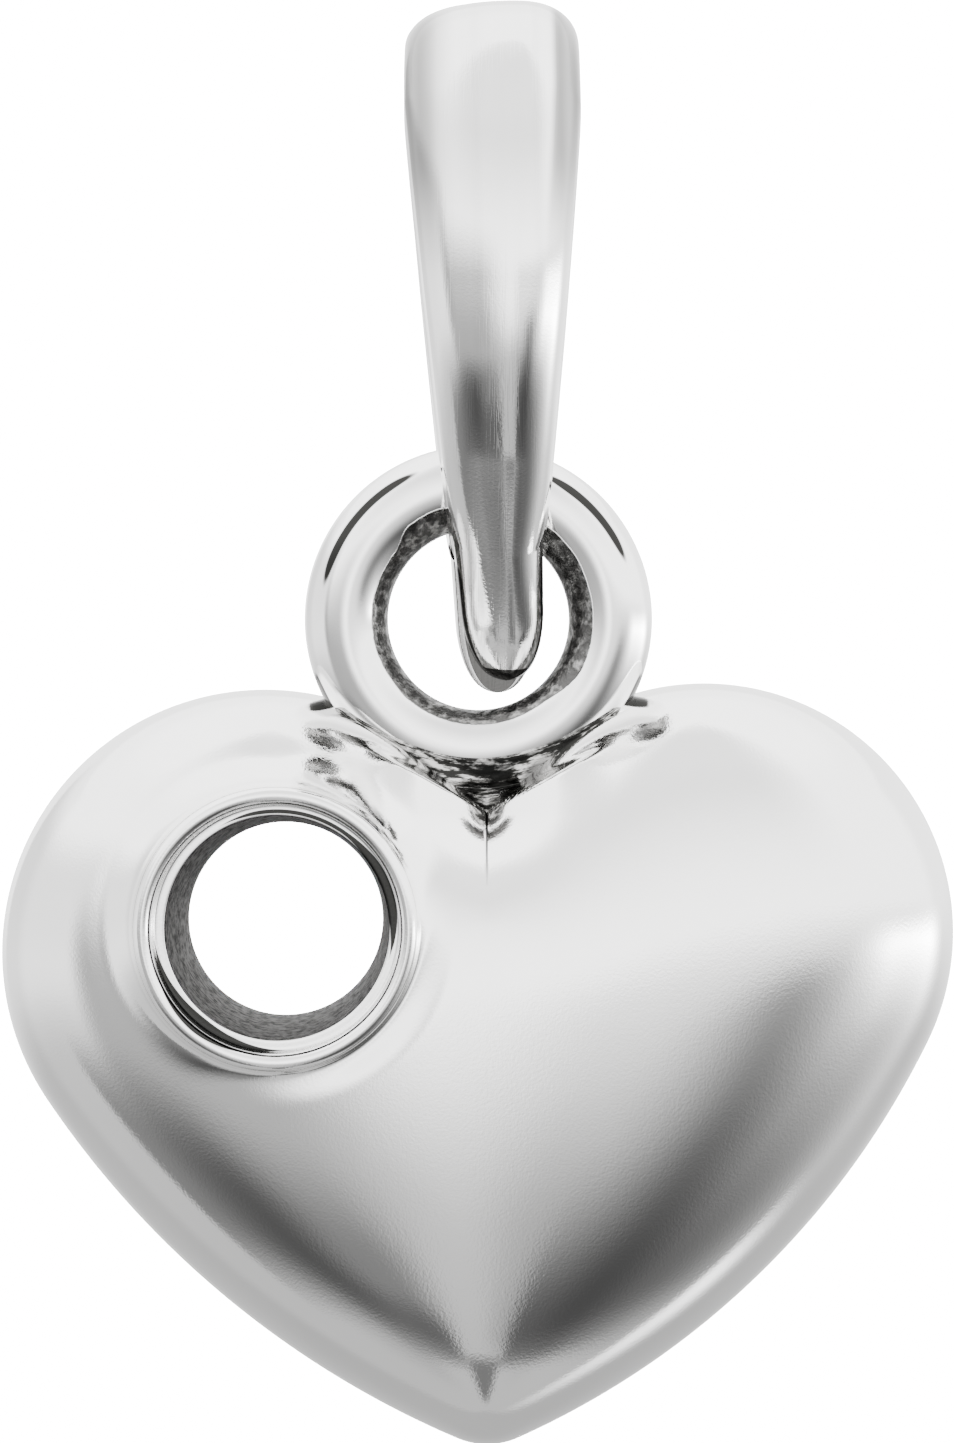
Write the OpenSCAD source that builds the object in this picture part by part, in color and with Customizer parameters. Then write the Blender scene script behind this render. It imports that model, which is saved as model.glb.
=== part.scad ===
// Heart pendant: a puffed heart with an open stone seat, a round eye ring in its notch and a tapered bail.
// The origin is the middle of the chain seat, the highest point inside the bail.
// +Z is up, -Y faces the viewer and +X is to the viewer's right. Lengths are in millimetres.

/* [Heart outline] */
// Radius of the right lobe
right_lobe_r = 2.575; // [2.45:0.005:2.7]
// Distance of the right lobe's centre from the tip's line
right_lobe_x = 2.25; // [2.1:0.01:2.35]
// Height of the right lobe's centre over the tip
right_lobe_z = 5.3; // [5:0.01:5.6]
// Radius of the right flank, which runs from the lobe to the tip
right_flank_r = 8.65; // [7:0.05:14]
// Radius of the left lobe
left_lobe_r = 2.72; // [2.6:0.005:2.85]
// Distance of the left lobe's centre from the tip's line
left_lobe_x = 2.3; // [2.15:0.01:2.4]
// Height of the left lobe's centre over the tip
left_lobe_z = 5.09; // [4.9:0.01:5.4]
// Radius of the left flank
left_flank_r = 9.7; // [7:0.05:14]
// Radius of the rounded tip
tip_r = 0.8; // [0.5:0.05:1.2]

/* [Heart domes] */
// Height of the front dome over the rim
front_dome = 1.95; // [1.5:0.05:2.2]
// Height of the back dome over the rim
back_dome = 1.2; // [0.8:0.05:1.6]
// Fullness of both domes: higher is flatter in the middle
dome_fullness = 1.15; // [1:0.05:2]
// Length of the crease that runs down from the notch
crease_len = 1.15; // [0.6:0.05:1.6]
// Depth of the crease at the notch
crease_depth = 0.3; // [0:0.02:0.4]
// Width over which the crease fades out to each side
crease_w = 0.35; // [0.2:0.05:0.6]

/* [Stone seat] */
// Diameter of the seat that takes the stone
stone_d = 2.5; // [2.3:0.05:2.7]
// Depth of the seat from the lip to the bearing ledge
seat_depth = 0.5; // [0.3:0.05:0.7]
// Width of the bearing ledge
ledge_w = 0.12; // [0.05:0.01:0.2]
// Width of the open hole at the back
back_hole_d = 2.04; // [1.6:0.02:2.1]
// Width of the raised lip round the seat
lip_w = 0.17; // [0.12:0.01:0.3]
// Height of the lip's top over the heart's rim
lip_h = 1.98; // [1.9:0.02:2.2]
// Radius that rounds the lip's outer edge
lip_edge_r = 0.1; // [0.05:0.01:0.12]
// Flare of the lip's foot on the dome
lip_flare = 0.22; // [0.1:0.02:0.4]
// Distance of the seat's axis to the left of the tip's line
seat_x = 2.12; // [1.9:0.02:2.3]
// Height of the seat's axis over the tip
seat_z = 5.4; // [5.2:0.02:5.6]

/* [Eye ring] */
// Outer diameter of the ring
ring_d = 3.59; // [3.3:0.01:3.9]
// Thickness of the ring's wire
wire_d = 0.88; // [0.8:0.01:0.92]
// Amount taken off the wire on the inside of the ring
wire_flat = 0.02; // [0:0.01:0.06]
// Height of the ring over the notch
notch_gap = 0.19; // [0.1:0.01:0.3]
// Distance of the ring's plane in front of the heart's rim
ring_forward = 0.295; // [0.1:0.01:0.4]
// Distance of the ring's centre to the left of the heart's tip
ring_shift = 0.09; // [0:0.01:0.15]
// Width of the solder that fills the notch beside the ring
solder_w = 0.3; // [0.15:0.01:0.35]

/* [Bail] */
// Width of the bail at its widest, near the top
bail_w = 1.79; // [1.5:0.01:2]
// Width of the bail where it holds the ring
bail_neck_w = 0.92; // [0.8:0.01:1]
// Width of the bail's tail
bail_tail_w = 0.78; // [0.7:0.01:0.9]
// Depth of the bail over its widest place, from front to back
bail_depth = 4.12; // [3.9:0.02:4.4]
// Radius of the bend over the top, on the outside
top_bend_r = 1.6; // [1.4:0.05:1.9]
// Radius of the bulged faces under the bend, on the outside
belly_r = 3.7; // [3.4:0.1:4.6]
// Length of the opening, from the chain seat down to the ring's cradle
opening_len = 5.165; // [4.6:0.005:6]
// Radius of the opening at the chain seat
chain_seat_r = 1.2; // [1:0.02:1.4]
// Clearance of the ring's wire in the opening's lower end, which cradles it
cradle_gap = 0.09; // [0.06:0.01:0.12]
// Bulge radius of the opening between its two ends
leg_r = 3.9; // [3.5:0.1:6]
// Thickness of the strip at the top
top_t = 0.62; // [0.45:0.01:0.75]
// Thickness of one layer at the tail's end
tail_t = 0.17; // [0.14:0.01:0.3]
// Clearance of the tail's end over the ring's wire below it
tail_gap = 0.14; // [0.1:0.02:0.4]
// Amount by which the back layer is longer
tail_step = 0.13; // [0:0.01:0.2]
// Sideways lean of the front layer at its end
tail_lean = 0.15; // [0:0.01:0.2]
// Sideways offset of the bail where it holds the ring, from the chain seat
bail_lean = 0.06; // [0:0.01:0.12]
// Offset of the heart's tip to the left of the chain seat
hang_shift = 0.048; // [0:0.01:0.1]

/* [Hidden] */
$fn = 96;
eps = 0.01;
cut_margin = 1;

solder_spread = 104;

// Mesh steps of the heart
tip_steps = 4;
flank_steps = 14;
lobe_steps = 28;
front_rings = 14;
back_rings = 9;
centre_share = 0.64;
depth_margin = 1.03;

// Mesh steps of the bail
crown_steps = 16;
arc_steps = 12;
leg_steps = 14;
straight_steps = 4;
tail_steps = 7;
top_crown_power = 2.6;
tail_crown_power = 2;
crest_share = 0.15;
back_lean_share = 0.4;
crown_inset = 0.11;
crown_share = 0.4;
tail_round_share = 0.48;
width_power = 0.85;
wide_drop = 0.4;
tail_blunt = 0.85;

// Where two circles cross, on the side given by +1 or -1
function meet(c1, r1, c2, r2, side) =
    let (
        gap = norm(c2 - c1),
        u = (c2 - c1) / gap,
        along = (r1 * r1 - r2 * r2 + gap * gap) / (2 * gap),
        across = sqrt(max(0, r1 * r1 - along * along))
    )
    c1 + along * u + side * across * [-u[1], u[0]];

// Angle of the line from one point to another
function bearing(from, to) = atan2(to[1] - from[1], to[0] - from[0]);

// Points along an arc, without the last one
function arc_points(c, r, a0, a1, steps) =
    [for (i = [0:steps - 1]) let (a = a0 + (a1 - a0) * i / steps) c + r * [cos(a), sin(a)]];

function total(list) = list * [for (item = list) 1];

// Heart outline: tip, flank and lobe arcs run into each other on both sides and end in the notch
tip_c = [0, tip_r];
right_lobe_c = [right_lobe_x, right_lobe_z];
left_lobe_c = [left_lobe_x, left_lobe_z];
notch = meet(right_lobe_c, right_lobe_r, [-left_lobe_x, left_lobe_z], left_lobe_r, -1);

function half_outline(lobe_c, lobe_r, flank_r, end) =
    let (
        flank_c = meet(lobe_c, flank_r - lobe_r, tip_c, flank_r - tip_r, -1),
        a_tip = bearing(flank_c, tip_c),
        a_lobe = bearing(flank_c, lobe_c)
    )
    concat(
        arc_points(tip_c, tip_r, -90, a_tip, tip_steps),
        arc_points(flank_c, flank_r, a_tip, a_lobe, flank_steps),
        arc_points(lobe_c, lobe_r, a_lobe, bearing(lobe_c, end), lobe_steps)
    );

right_half = half_outline(right_lobe_c, right_lobe_r, right_flank_r, notch);
left_half = half_outline(left_lobe_c, left_lobe_r, left_flank_r, [-notch[0], notch[1]]);
outline = concat(
    right_half,
    [notch],
    [for (i = [len(left_half) - 1:-1:1]) [-left_half[i][0], left_half[i][1]]]
);
columns = len(outline);
heart_c = [notch[0], notch[1] * centre_share];

// Depth of a point inside the outline: the mean of its distances to the outline in all directions,
// taken so that it equals the true distance beside the edge and stays smooth everywhere inside
function depth_at(p) =
    2 / total([
        for (i = [0:columns - 1])
            let (
                a = outline[i] - p,
                b = outline[(i + 1) % columns] - p,
                la = norm(a),
                lb = norm(b)
            )
            (1 / la + 1 / lb) * cross(a, b) / (la * lb + a * b)
    ]);

full_depth = depth_at(heart_c) * depth_margin;

// Share of the crease at a point: 1 at the notch, 0 past its length or away from its line
function crease_share(p) =
    let (fade = max(0, 1 - (notch[1] - p[1]) / crease_len))
    fade * fade * exp(-abs(p[0] - notch[0]) / crease_w);

// Height of a dome over the rim at a point inside the outline
function dome_height(p, dome) =
    let (
        rest = 1 - min(1, depth_at(p) / full_depth),
        swell = sqrt(1 - pow(rest, dome_fullness))
    )
    swell * (dome - crease_depth * crease_share(p));

function heart_row(share, dome, side) =
    [
        for (edge = outline)
            let (p = heart_c + share * (edge - heart_c), h = share == 1 ? 0 : dome_height(p, dome))
            [p[0], side * h, p[1]]
    ];

heart_rows = concat(
    [for (k = [1:front_rings]) heart_row(k == front_rings ? 1 : sin(90 * k / front_rings), front_dome, -1)],
    [for (k = [back_rings - 1:-1:1]) heart_row(sin(90 * k / back_rings), back_dome, 1)]
);

// Triangles of a grid of rows that are closed rings of points
function ring_faces(rows, count) =
    [
        for (j = [0:rows - 2])
            for (i = [0:count - 1])
                let (
                    a = j * count + i,
                    b = j * count + (i + 1) % count,
                    c = b + count,
                    d = a + count
                )
                each [[a, b, c], [a, c, d]]
    ];

// Fan of triangles that closes a ring of points onto one point
function fan_faces(hub, first, count, turn) =
    [
        for (i = [0:count - 1])
            let (a = first + i, b = first + (i + 1) % count)
            turn > 0 ? [hub, b, a] : [hub, a, b]
    ];

module heart_shell() {
    row_count = len(heart_rows);
    hub = row_count * columns;
    polyhedron(
        points = concat(
            [for (row = heart_rows) each row],
            [
                [heart_c[0], -dome_height(heart_c, front_dome), heart_c[1]],
                [heart_c[0], dome_height(heart_c, back_dome), heart_c[1]]
            ]
        ),
        faces = concat(
            ring_faces(row_count, columns),
            fan_faces(hub, 0, columns, 1),
            fan_faces(hub + 1, hub - columns, columns, -1)
        )
    );
}

// The ring's wire runs round its curve inside the bail. The cradle clears it at the bail's middle and edge,
// and the hinge lies halfway between the wire's middle and the lower place where it leaves the bail.
ring_mean_r = (ring_d - wire_d) / 2;
ring_x = -hang_shift - ring_shift;
wire_r = wire_d / 2;
cradle_edge_x = bail_lean - ring_x + bail_neck_w / 2;
cradle_edge_z = sqrt(ring_mean_r * ring_mean_r - cradle_edge_x * cradle_edge_x);
wire_at_edge = wire_r * ring_mean_r / cradle_edge_z;
hinge_rise = (ring_mean_r - cradle_edge_z + wire_at_edge - wire_r) / 2;
cradle_r = hinge_rise + wire_r + cradle_gap;

// Places along the pendant, from the chain seat down
hinge_z = cradle_r - opening_len;
ring_z = hinge_z + hinge_rise - ring_mean_r;
tip_z = ring_z - ring_d / 2 - notch_gap - notch[1];

module at_heart() {
    translate([-hang_shift, ring_forward, tip_z]) children();
}

module at_ring() {
    translate([ring_x, 0, ring_z]) rotate([90, 0, 0]) children();
}

module at_seat() {
    at_heart() translate([-seat_x, 0, seat_z]) rotate([90, 0, 0]) children();
}

// Raised lip with a rounded edge and a flared foot
module seat_lip() {
    lip_r = stone_d / 2 + lip_w;
    foot_h = lip_h / 2;
    shoulder = lip_h - lip_edge_r;
    rotate_extrude()
        union() {
            polygon([
                [0, foot_h],
                [lip_r + lip_flare, foot_h],
                [lip_r, shoulder],
                [lip_r - lip_edge_r, shoulder],
                [lip_r - lip_edge_r, lip_h],
                [0, lip_h]
            ]);
            translate([lip_r - lip_edge_r, shoulder]) circle(r = lip_edge_r, $fn = 32);
        }
}

// Stepped hole for the stone: the seat, its ledge and a bore that narrows to the back
module seat_bore() {
    ledge_h = lip_h - seat_depth;
    back_h = -back_dome - cut_margin;
    through = ledge_h - back_h;
    ledge_r = stone_d / 2 - ledge_w;
    taper = (ledge_r - back_hole_d / 2) / (ledge_h + back_dome);
    translate([0, 0, ledge_h]) cylinder(r = stone_d / 2, h = seat_depth + cut_margin);
    translate([0, 0, back_h]) cylinder(r1 = ledge_r - taper * through, r2 = ledge_r, h = through);
}

module ring_wire() {
    rotate_extrude() translate([ring_mean_r, 0]) circle(d = wire_d, $fn = 48);
}

// Solder that fills the notch under the ring and ends in two small corners
module solder_web() {
    inner = ring_mean_r - wire_d / 8;
    outer = ring_d / 2 + solder_w;
    rotate([0, 0, -90 - solder_spread / 2])
        rotate_extrude(angle = solder_spread)
            polygon([
                [inner, -wire_r / 2],
                [outer, -wire_r / 2],
                [outer, wire_r + solder_w],
                [inner, wire_r - eps]
            ]);
}

module heart() {
    color("gainsboro")
        difference() {
            union() {
                at_heart() heart_shell();
                at_seat() seat_lip();
                at_ring() solder_web();
            }
            at_seat() seat_bore();
            at_ring() ring_wire();
        }
}

module eye_ring() {
    color("silver")
        at_ring()
            difference() {
                ring_wire();
                cylinder(r = ring_mean_r - wire_d / 2 + wire_flat, h = 2 * wire_d, center = true);
            }
}

// Opening of the bail: its two end circles and the bulged sides that run into both
top_c = [0, -chain_seat_r];
cradle_c = [0, hinge_z];
leg_c = meet(top_c, leg_r - chain_seat_r, cradle_c, leg_r - cradle_r, -1);
leg_top_a = bearing(leg_c, top_c);
leg_low_a = bearing(leg_c, cradle_c);

// Outside of the bail: the bend over the top, the bulged face under it and the straight face of the tail
half_depth = bail_depth / 2;
bend_c = [0, top_t - top_bend_r];
bend_room = pow(belly_r - top_bend_r, 2) - pow(belly_r - half_depth, 2);
belly_c = [half_depth - belly_r, bend_c[1] - sqrt(max(0, bend_room))];
bend_a = bearing(belly_c, bend_c);

// The tail hangs in the ring's eye, and its back layer ends just over the wire below
tail_end_z = ring_z - ring_mean_r + wire_r + tail_gap + tail_step;
tail_len = -opening_len - tail_end_z;
tail_round = tail_len * tail_round_share;
tail_tip = [tail_t, tail_end_z];
tail_a = bearing(tail_tip, belly_c) - asin(belly_r / norm(belly_c - tail_tip)) - 90;
belly_end_z = belly_c[1] + belly_r * sin(tail_a);

function tail_depth(z) = tail_t - (z - tail_end_z) * tan(tail_a);

// Stations of the outside from the tail's end up to the top: [depth, height, normal's direction, width share]
function arc_stations(c, r, a0, a1, steps) =
    [for (i = [0:steps - 1]) let (a = a0 + (a1 - a0) * i / steps) [c[0] + r * cos(a), c[1] + r * sin(a), a, 1]];

stations = concat(
    [
        for (i = [1:tail_steps])
            let (q = 90 * i / tail_steps, z = tail_end_z + tail_round * (1 - cos(q)))
            [tail_depth(z) * (tail_blunt + (1 - tail_blunt) * sin(q)), z, tail_a, sin(q)]
    ],
    [
        for (i = [1:straight_steps - 1])
            let (z = tail_end_z + tail_round + (belly_end_z - tail_end_z - tail_round) * i / straight_steps)
            [tail_depth(z), z, tail_a, 1]
    ],
    arc_stations(belly_c, belly_r, tail_a, bend_a, leg_steps),
    arc_stations(bend_c, top_bend_r, bend_a, 90, arc_steps)
);

function clamp01(t) = max(0, min(1, t));
function blend(a, b, t) = a + (b - a) * clamp01(t);

// Share of the way from the opening's end to the tail's end, and from the opening's end to the widest place
function tail_share(z) = clamp01((-opening_len - z) / tail_len);
function leg_share(z) = clamp01((z + opening_len) / (opening_len - wide_drop));

function half_width(z) =
    blend(bail_neck_w, bail_w, pow(leg_share(z), width_power)) / 2
        - tail_share(z) * (bail_neck_w - bail_tail_w) / 2;

// Thickness of the strip between a point of the outside and the opening
function strip_t(p) =
    let (a = bearing(leg_c, p))
    a > leg_top_a ? norm(p - top_c) - chain_seat_r
        : a < leg_low_a ? norm(p - cradle_c) - cradle_r
        : norm(p - leg_c) - leg_r;

function power_of(v, p) = sign(v) * pow(abs(v), p);

// Points across the crowned face at a station, on the front (-1) or the back (1)
function crown_row(s, side) =
    let (
        share = tail_share(s[1]),
        front = side < 0,
        lean = bail_lean * clamp01(-s[1] / opening_len) + (tail_lean - bail_lean) * share,
        shift = front ? lean : back_lean_share * lean,
        crest = front ? crest_share : 0,
        drop = front ? 0 : tail_step * share,
        w = half_width(s[1]) * s[3],
        power = blend(tail_crown_power, top_crown_power, leg_share(s[1])),
        edge = min(strip_t([s[0], s[1]]) - crown_inset, s[1] < hinge_z ? s[0] * crown_share : top_t)
    )
    [
        for (i = [0:crown_steps])
            let (
                a = 180 * (1 - i / crown_steps),
                across = power_of(cos(a), 2 / power),
                dip = edge * (1 - power_of(sin(a), 2 / power))
            )
            [shift + w * (crest + across * (1 - sign(across) * crest)), side * (s[0] - dip * cos(s[2])), s[1] - drop - dip * sin(s[2])]
    ];

module bail_body() {
    row_len = crown_steps + 1;
    count = 2 * row_len;
    top_row = crown_row([0, top_t, 90, 1], -1);
    last = len(stations) - 1;
    hub = len(stations) * count;
    polyhedron(
        points = concat(
            [
                for (s = stations)
                    let (back = crown_row(s, 1))
                    each concat(crown_row(s, -1), [for (i = [crown_steps:-1:0]) back[i]])
            ],
            [for (p = top_row) [p[0], 0, p[2]]]
        ),
        faces = concat(
            [[for (i = [0:count - 1]) i]],
            [
                for (face = ring_faces(len(stations), count))
                    [face[0], face[2], face[1]]
            ],
            [
                for (i = [0:crown_steps - 1])
                    let (a = last * count + i, c = hub + i)
                    each [[a, c, a + 1], [a + 1, c, c + 1]]
            ],
            [
                for (i = [0:crown_steps - 1])
                    let (a = last * count + count - 1 - i, c = hub + i)
                    each [[a, a - 1, c], [a - 1, c + 1, c]]
            ],
            [
                [last * count, last * count + count - 1, hub],
                [last * count + crown_steps, hub + crown_steps, last * count + row_len]
            ]
        )
    );
}

// Opening of the bail: round at the chain seat and at the cradle, with bulged legs between
module bail_opening() {
    length = 2 * bail_w;
    side = [
        for (i = [0:leg_steps])
            let (a = leg_top_a + (leg_low_a - leg_top_a) * i / leg_steps)
            leg_c + leg_r * [cos(a), sin(a)]
    ];
    rotate([90, 0, 90])
        linear_extrude(height = length, center = true)
            union() {
                translate(top_c) circle(r = chain_seat_r);
                translate(cradle_c) circle(r = cradle_r);
                polygon(concat(side, [for (i = [leg_steps:-1:0]) [-side[i][0], side[i][1]]]));
            }
}

module bail() {
    color("whitesmoke")
        difference() {
            bail_body();
            bail_opening();
        }
}

heart();
eye_ring();
bail();
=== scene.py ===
import logging
import math
from dataclasses import dataclass
from enum import Enum

import bmesh
import bpy
import numpy as np
from mathutils.geometry import delaunay_2d_cdt
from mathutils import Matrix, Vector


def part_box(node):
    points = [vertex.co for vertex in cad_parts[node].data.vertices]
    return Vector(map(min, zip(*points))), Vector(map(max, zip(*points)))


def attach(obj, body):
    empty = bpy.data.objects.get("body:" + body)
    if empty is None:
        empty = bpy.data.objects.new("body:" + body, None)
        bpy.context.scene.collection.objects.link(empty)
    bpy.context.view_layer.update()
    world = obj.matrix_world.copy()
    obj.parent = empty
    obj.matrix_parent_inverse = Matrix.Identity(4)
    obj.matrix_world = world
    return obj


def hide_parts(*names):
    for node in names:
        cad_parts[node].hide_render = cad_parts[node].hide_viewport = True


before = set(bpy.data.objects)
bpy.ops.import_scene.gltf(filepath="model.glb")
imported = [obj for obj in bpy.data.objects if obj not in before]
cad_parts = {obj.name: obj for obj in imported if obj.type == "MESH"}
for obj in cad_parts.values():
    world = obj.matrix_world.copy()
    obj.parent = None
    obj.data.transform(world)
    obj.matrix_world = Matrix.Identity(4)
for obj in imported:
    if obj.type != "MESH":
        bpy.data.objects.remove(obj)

LOG = logging.getLogger("heart_pendant")
MM = 0.001
PHOTO_HEIGHT = 1443
SENSOR = 36.0
WELD = 1e-5


class Face(Enum):
    """The two sides of the pendant, as the sign of Y."""

    FRONT = -1.0
    BACK = 1.0


class Flow(Enum):
    """How the polishing marks of a finish run."""

    EVEN = "even"
    LENGTHWISE = "lengthwise"


def meet(c1: np.ndarray, r1: float, c2: np.ndarray, r2: float, side: float) -> np.ndarray:
    """Finds where two circles cross.

    Formula: the crossing lies along the line of centres by (r1^2 - r2^2 + gap^2) / (2 gap), and across it
    by the rest of r1.

    Args:
        c1: Centre of the first circle.
        r1: Its radius.
        c2: Centre of the second circle.
        r2: Its radius.
        side: +1 or -1, which of the two crossings is meant.

    Returns:
        The crossing as a 2-vector.
    """
    gap = float(np.linalg.norm(c2 - c1))
    u = (c2 - c1) / gap
    along = (r1 * r1 - r2 * r2 + gap * gap) / (2 * gap)
    across = math.sqrt(max(0.0, r1 * r1 - along * along))
    return c1 + along * u + side * across * np.array([-u[1], u[0]])


def bearing(start: np.ndarray, end: np.ndarray) -> float:
    """Angle in radians of the line from start to end."""
    return math.atan2(end[1] - start[1], end[0] - start[0])


def arc(centre: np.ndarray, radius: float, a0: float, a1: float, steps: int) -> np.ndarray:
    """Points on an arc from angle a0 to a1, without the last: centre + radius (cos a, sin a)."""
    a = a0 + (a1 - a0) * np.arange(steps) / steps
    return np.asarray(centre) + radius * np.stack([np.cos(a), np.sin(a)], axis=1)


def blend(a: float | np.ndarray, b: float | np.ndarray, t: np.ndarray) -> np.ndarray:
    """Straight blend from a to b as t goes from 0 to 1, held outside that range."""
    return a + (b - a) * np.clip(t, 0, 1)


def smooth(t: np.ndarray) -> np.ndarray:
    """Smooth step: 3 t^2 - 2 t^3 with t held to 0..1."""
    t = np.clip(t, 0, 1)
    return t * t * (3 - 2 * t)


def rising(v: np.ndarray, start: float, end: float) -> np.ndarray:
    """Smooth step of v: 0 up to start and 1 from end on."""
    return smooth((v - start) / (end - start))


def resample(points: np.ndarray, count: int) -> np.ndarray:
    """Spaces rows of numbers evenly along the curve that their first two columns draw.

    Formula: each column is interpolated at equal steps of the curve's running length.

    Args:
        points: Array of shape (n, 2 or more).
        count: Number of rows wanted, the first of the curve left out.

    Returns:
        Array of shape (count, columns).
    """
    run = np.concatenate([[0.0], np.cumsum(np.linalg.norm(np.diff(points[:, :2], axis=0), axis=1))])
    at = run[-1] * np.arange(1, count + 1) / count
    return np.stack([np.interp(at, run, column) for column in points.T], axis=1)


def signed_power(v: np.ndarray, p: float | np.ndarray) -> np.ndarray:
    """Power of the size of v, with v's sign."""
    return np.sign(v) * np.abs(v) ** p


def ripples(p: np.ndarray, waves: np.ndarray) -> np.ndarray:
    """Sums plane waves into an uneven relief.

    Formula: the mean over the waves of sin(k . p + phase), where each wave is (kx, ky, kz, phase).

    Args:
        p: Points, any shape with 3 in the last axis.
        waves: Array of waves, 4 numbers each.

    Returns:
        Relief between about -1 and 1, in the shape of p without its last axis.
    """
    return np.sin(p @ waves[:, :3].T + waves[:, 3]).mean(axis=-1) * math.sqrt(len(waves)) / 1.6


def wave_set(seed: int, count: int, low: float, high: float) -> np.ndarray:
    """Random waves of a fixed seed, with lengths between 2 pi / high and 2 pi / low.

    Args:
        seed: Seed of the numbers, so each run gives the same relief.
        count: Number of waves.
        low: Least wave number in 1/mm.
        high: Greatest wave number in 1/mm.

    Returns:
        Array of shape (count, 4).
    """
    rng = np.random.default_rng(seed)
    way = rng.normal(size=(count, 3))
    way /= np.linalg.norm(way, axis=1)[:, None]
    numbers = rng.uniform(low, high, (count, 1))
    phases = rng.uniform(0, 2 * math.pi, (count, 1))
    return np.concatenate([way * numbers, phases], axis=1)


def there_and_back(rows: np.ndarray) -> np.ndarray:
    """Rows followed by the same rows in turn back to the first, with the last one only once."""
    return np.concatenate([rows, rows[-2::-1]])


def grid_quads(
    rows: int, cols: int, first: int = 0, wrap_cols: bool = True, wrap_rows: bool = False
) -> np.ndarray:
    """Quads of a grid of points stored row by row.

    Args:
        rows: Number of rows.
        cols: Number of points in a row.
        first: Index of the grid's first point.
        wrap_cols: Whether each row closes on itself.
        wrap_rows: Whether the last row joins the first.

    Returns:
        Array of shape (count, 4).
    """
    j = np.arange(rows if wrap_rows else rows - 1)[:, None]
    i = np.arange(cols if wrap_cols else cols - 1)[None, :]
    j2, i2 = (j + 1) % rows, (i + 1) % cols
    around = (j * cols + i, j * cols + i2, j2 * cols + i2, j2 * cols + i)
    return np.stack(np.broadcast_arrays(*around), axis=-1).reshape(-1, 4) + first


def fan_tris(hub: int, first: int, count: int) -> np.ndarray:
    """Triangles that close a ring of points onto one hub point."""
    i = np.arange(count)
    return np.stack([np.full(count, hub), first + (i + 1) % count, first + i], axis=1)


@dataclass
class Shell:
    """A mesh in the making: points in millimetres, faces, and the finish of each face."""

    points: np.ndarray
    quads: np.ndarray
    tris: np.ndarray
    quad_finish: np.ndarray
    tri_finish: np.ndarray

    @classmethod
    def of_quads(cls, points: np.ndarray, quads: np.ndarray) -> "Shell":
        """A shell of quads alone, in one finish."""
        no_tris = np.zeros((0, 3), int)
        return cls(points, quads, no_tris, np.zeros(len(quads), np.int32), np.zeros(0, np.int32))

    def volume(self) -> float:
        """Volume inside the faces: a sixth of the sum of the triple products of each triangle."""
        q, p = self.quads, self.points
        t = np.concatenate([q[:, [0, 1, 2]], q[:, [0, 2, 3]], self.tris])
        return float(np.einsum("ij,ij->i", p[t[:, 0]], np.cross(p[t[:, 1]], p[t[:, 2]])).sum() / 6)

    def fit_into(self, node: str, sides: str) -> None:
        """Draws the points in by a few microns, so that they stay in the node's box.

        Formula: each named axis is scaled about the middle of the points to the node's own length, if
        that is shorter, and held to the node's box.

        Args:
            node: Name of the CAD node.
            sides: Letters of the axes to fit, from "xyz".
        """
        lo, hi = (np.array(v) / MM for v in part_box(node))
        for axis in ("xyz".index(s) for s in sides):
            own_lo, own_hi = self.points[:, axis].min(), self.points[:, axis].max()
            grown = max(0.0, lo[axis] - own_lo) + max(0.0, own_hi - hi[axis])
            middle = (own_lo + own_hi) / 2
            factor = min(1.0, (own_hi - own_lo - 2 * grown) / (own_hi - own_lo))
            self.points[:, axis] = middle + (self.points[:, axis] - middle) * factor

    def to_piece(
        self, name: str, finishes: list, attributes: dict | None = None, weld: float = 0.0
    ) -> bpy.types.Object:
        """Makes the Blender object, in metres, at the origin.

        Args:
            name: Name of the piece.
            finishes: Materials in the order of the finish numbers.
            attributes: Point attributes, name to one number for each point.
            weld: Distance in mm under which points are merged, or 0.

        Returns:
            The mesh object, linked to the scene.
        """
        if self.volume() < 0:
            self.quads, self.tris = self.quads[:, ::-1], self.tris[:, ::-1]
        mesh = bpy.data.meshes.new(name)
        mesh.from_pydata((self.points * MM).tolist(), [], self.quads.tolist() + self.tris.tolist())
        for key, values in (attributes or {}).items():
            mesh.attributes.new(key, "FLOAT", "POINT").data.foreach_set("value", values.astype(np.float32))
        for material in finishes:
            mesh.materials.append(material)
        finish = np.concatenate([self.quad_finish, self.tri_finish]).astype(np.int32)
        mesh.polygons.foreach_set("material_index", finish)
        mesh.polygons.foreach_set("use_smooth", np.ones(len(mesh.polygons), bool))
        mesh.update()
        if weld > 0:
            bm = bmesh.new()
            bm.from_mesh(mesh)
            bmesh.ops.remove_doubles(bm, verts=bm.verts, dist=weld * MM)
            bmesh.ops.dissolve_degenerate(bm, edges=bm.edges, dist=weld * MM / 2)
            bm.to_mesh(mesh)
            bm.free()
        mesh.validate()
        piece = bpy.data.objects.new(name, mesh)
        bpy.context.scene.collection.objects.link(piece)
        return piece


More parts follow.
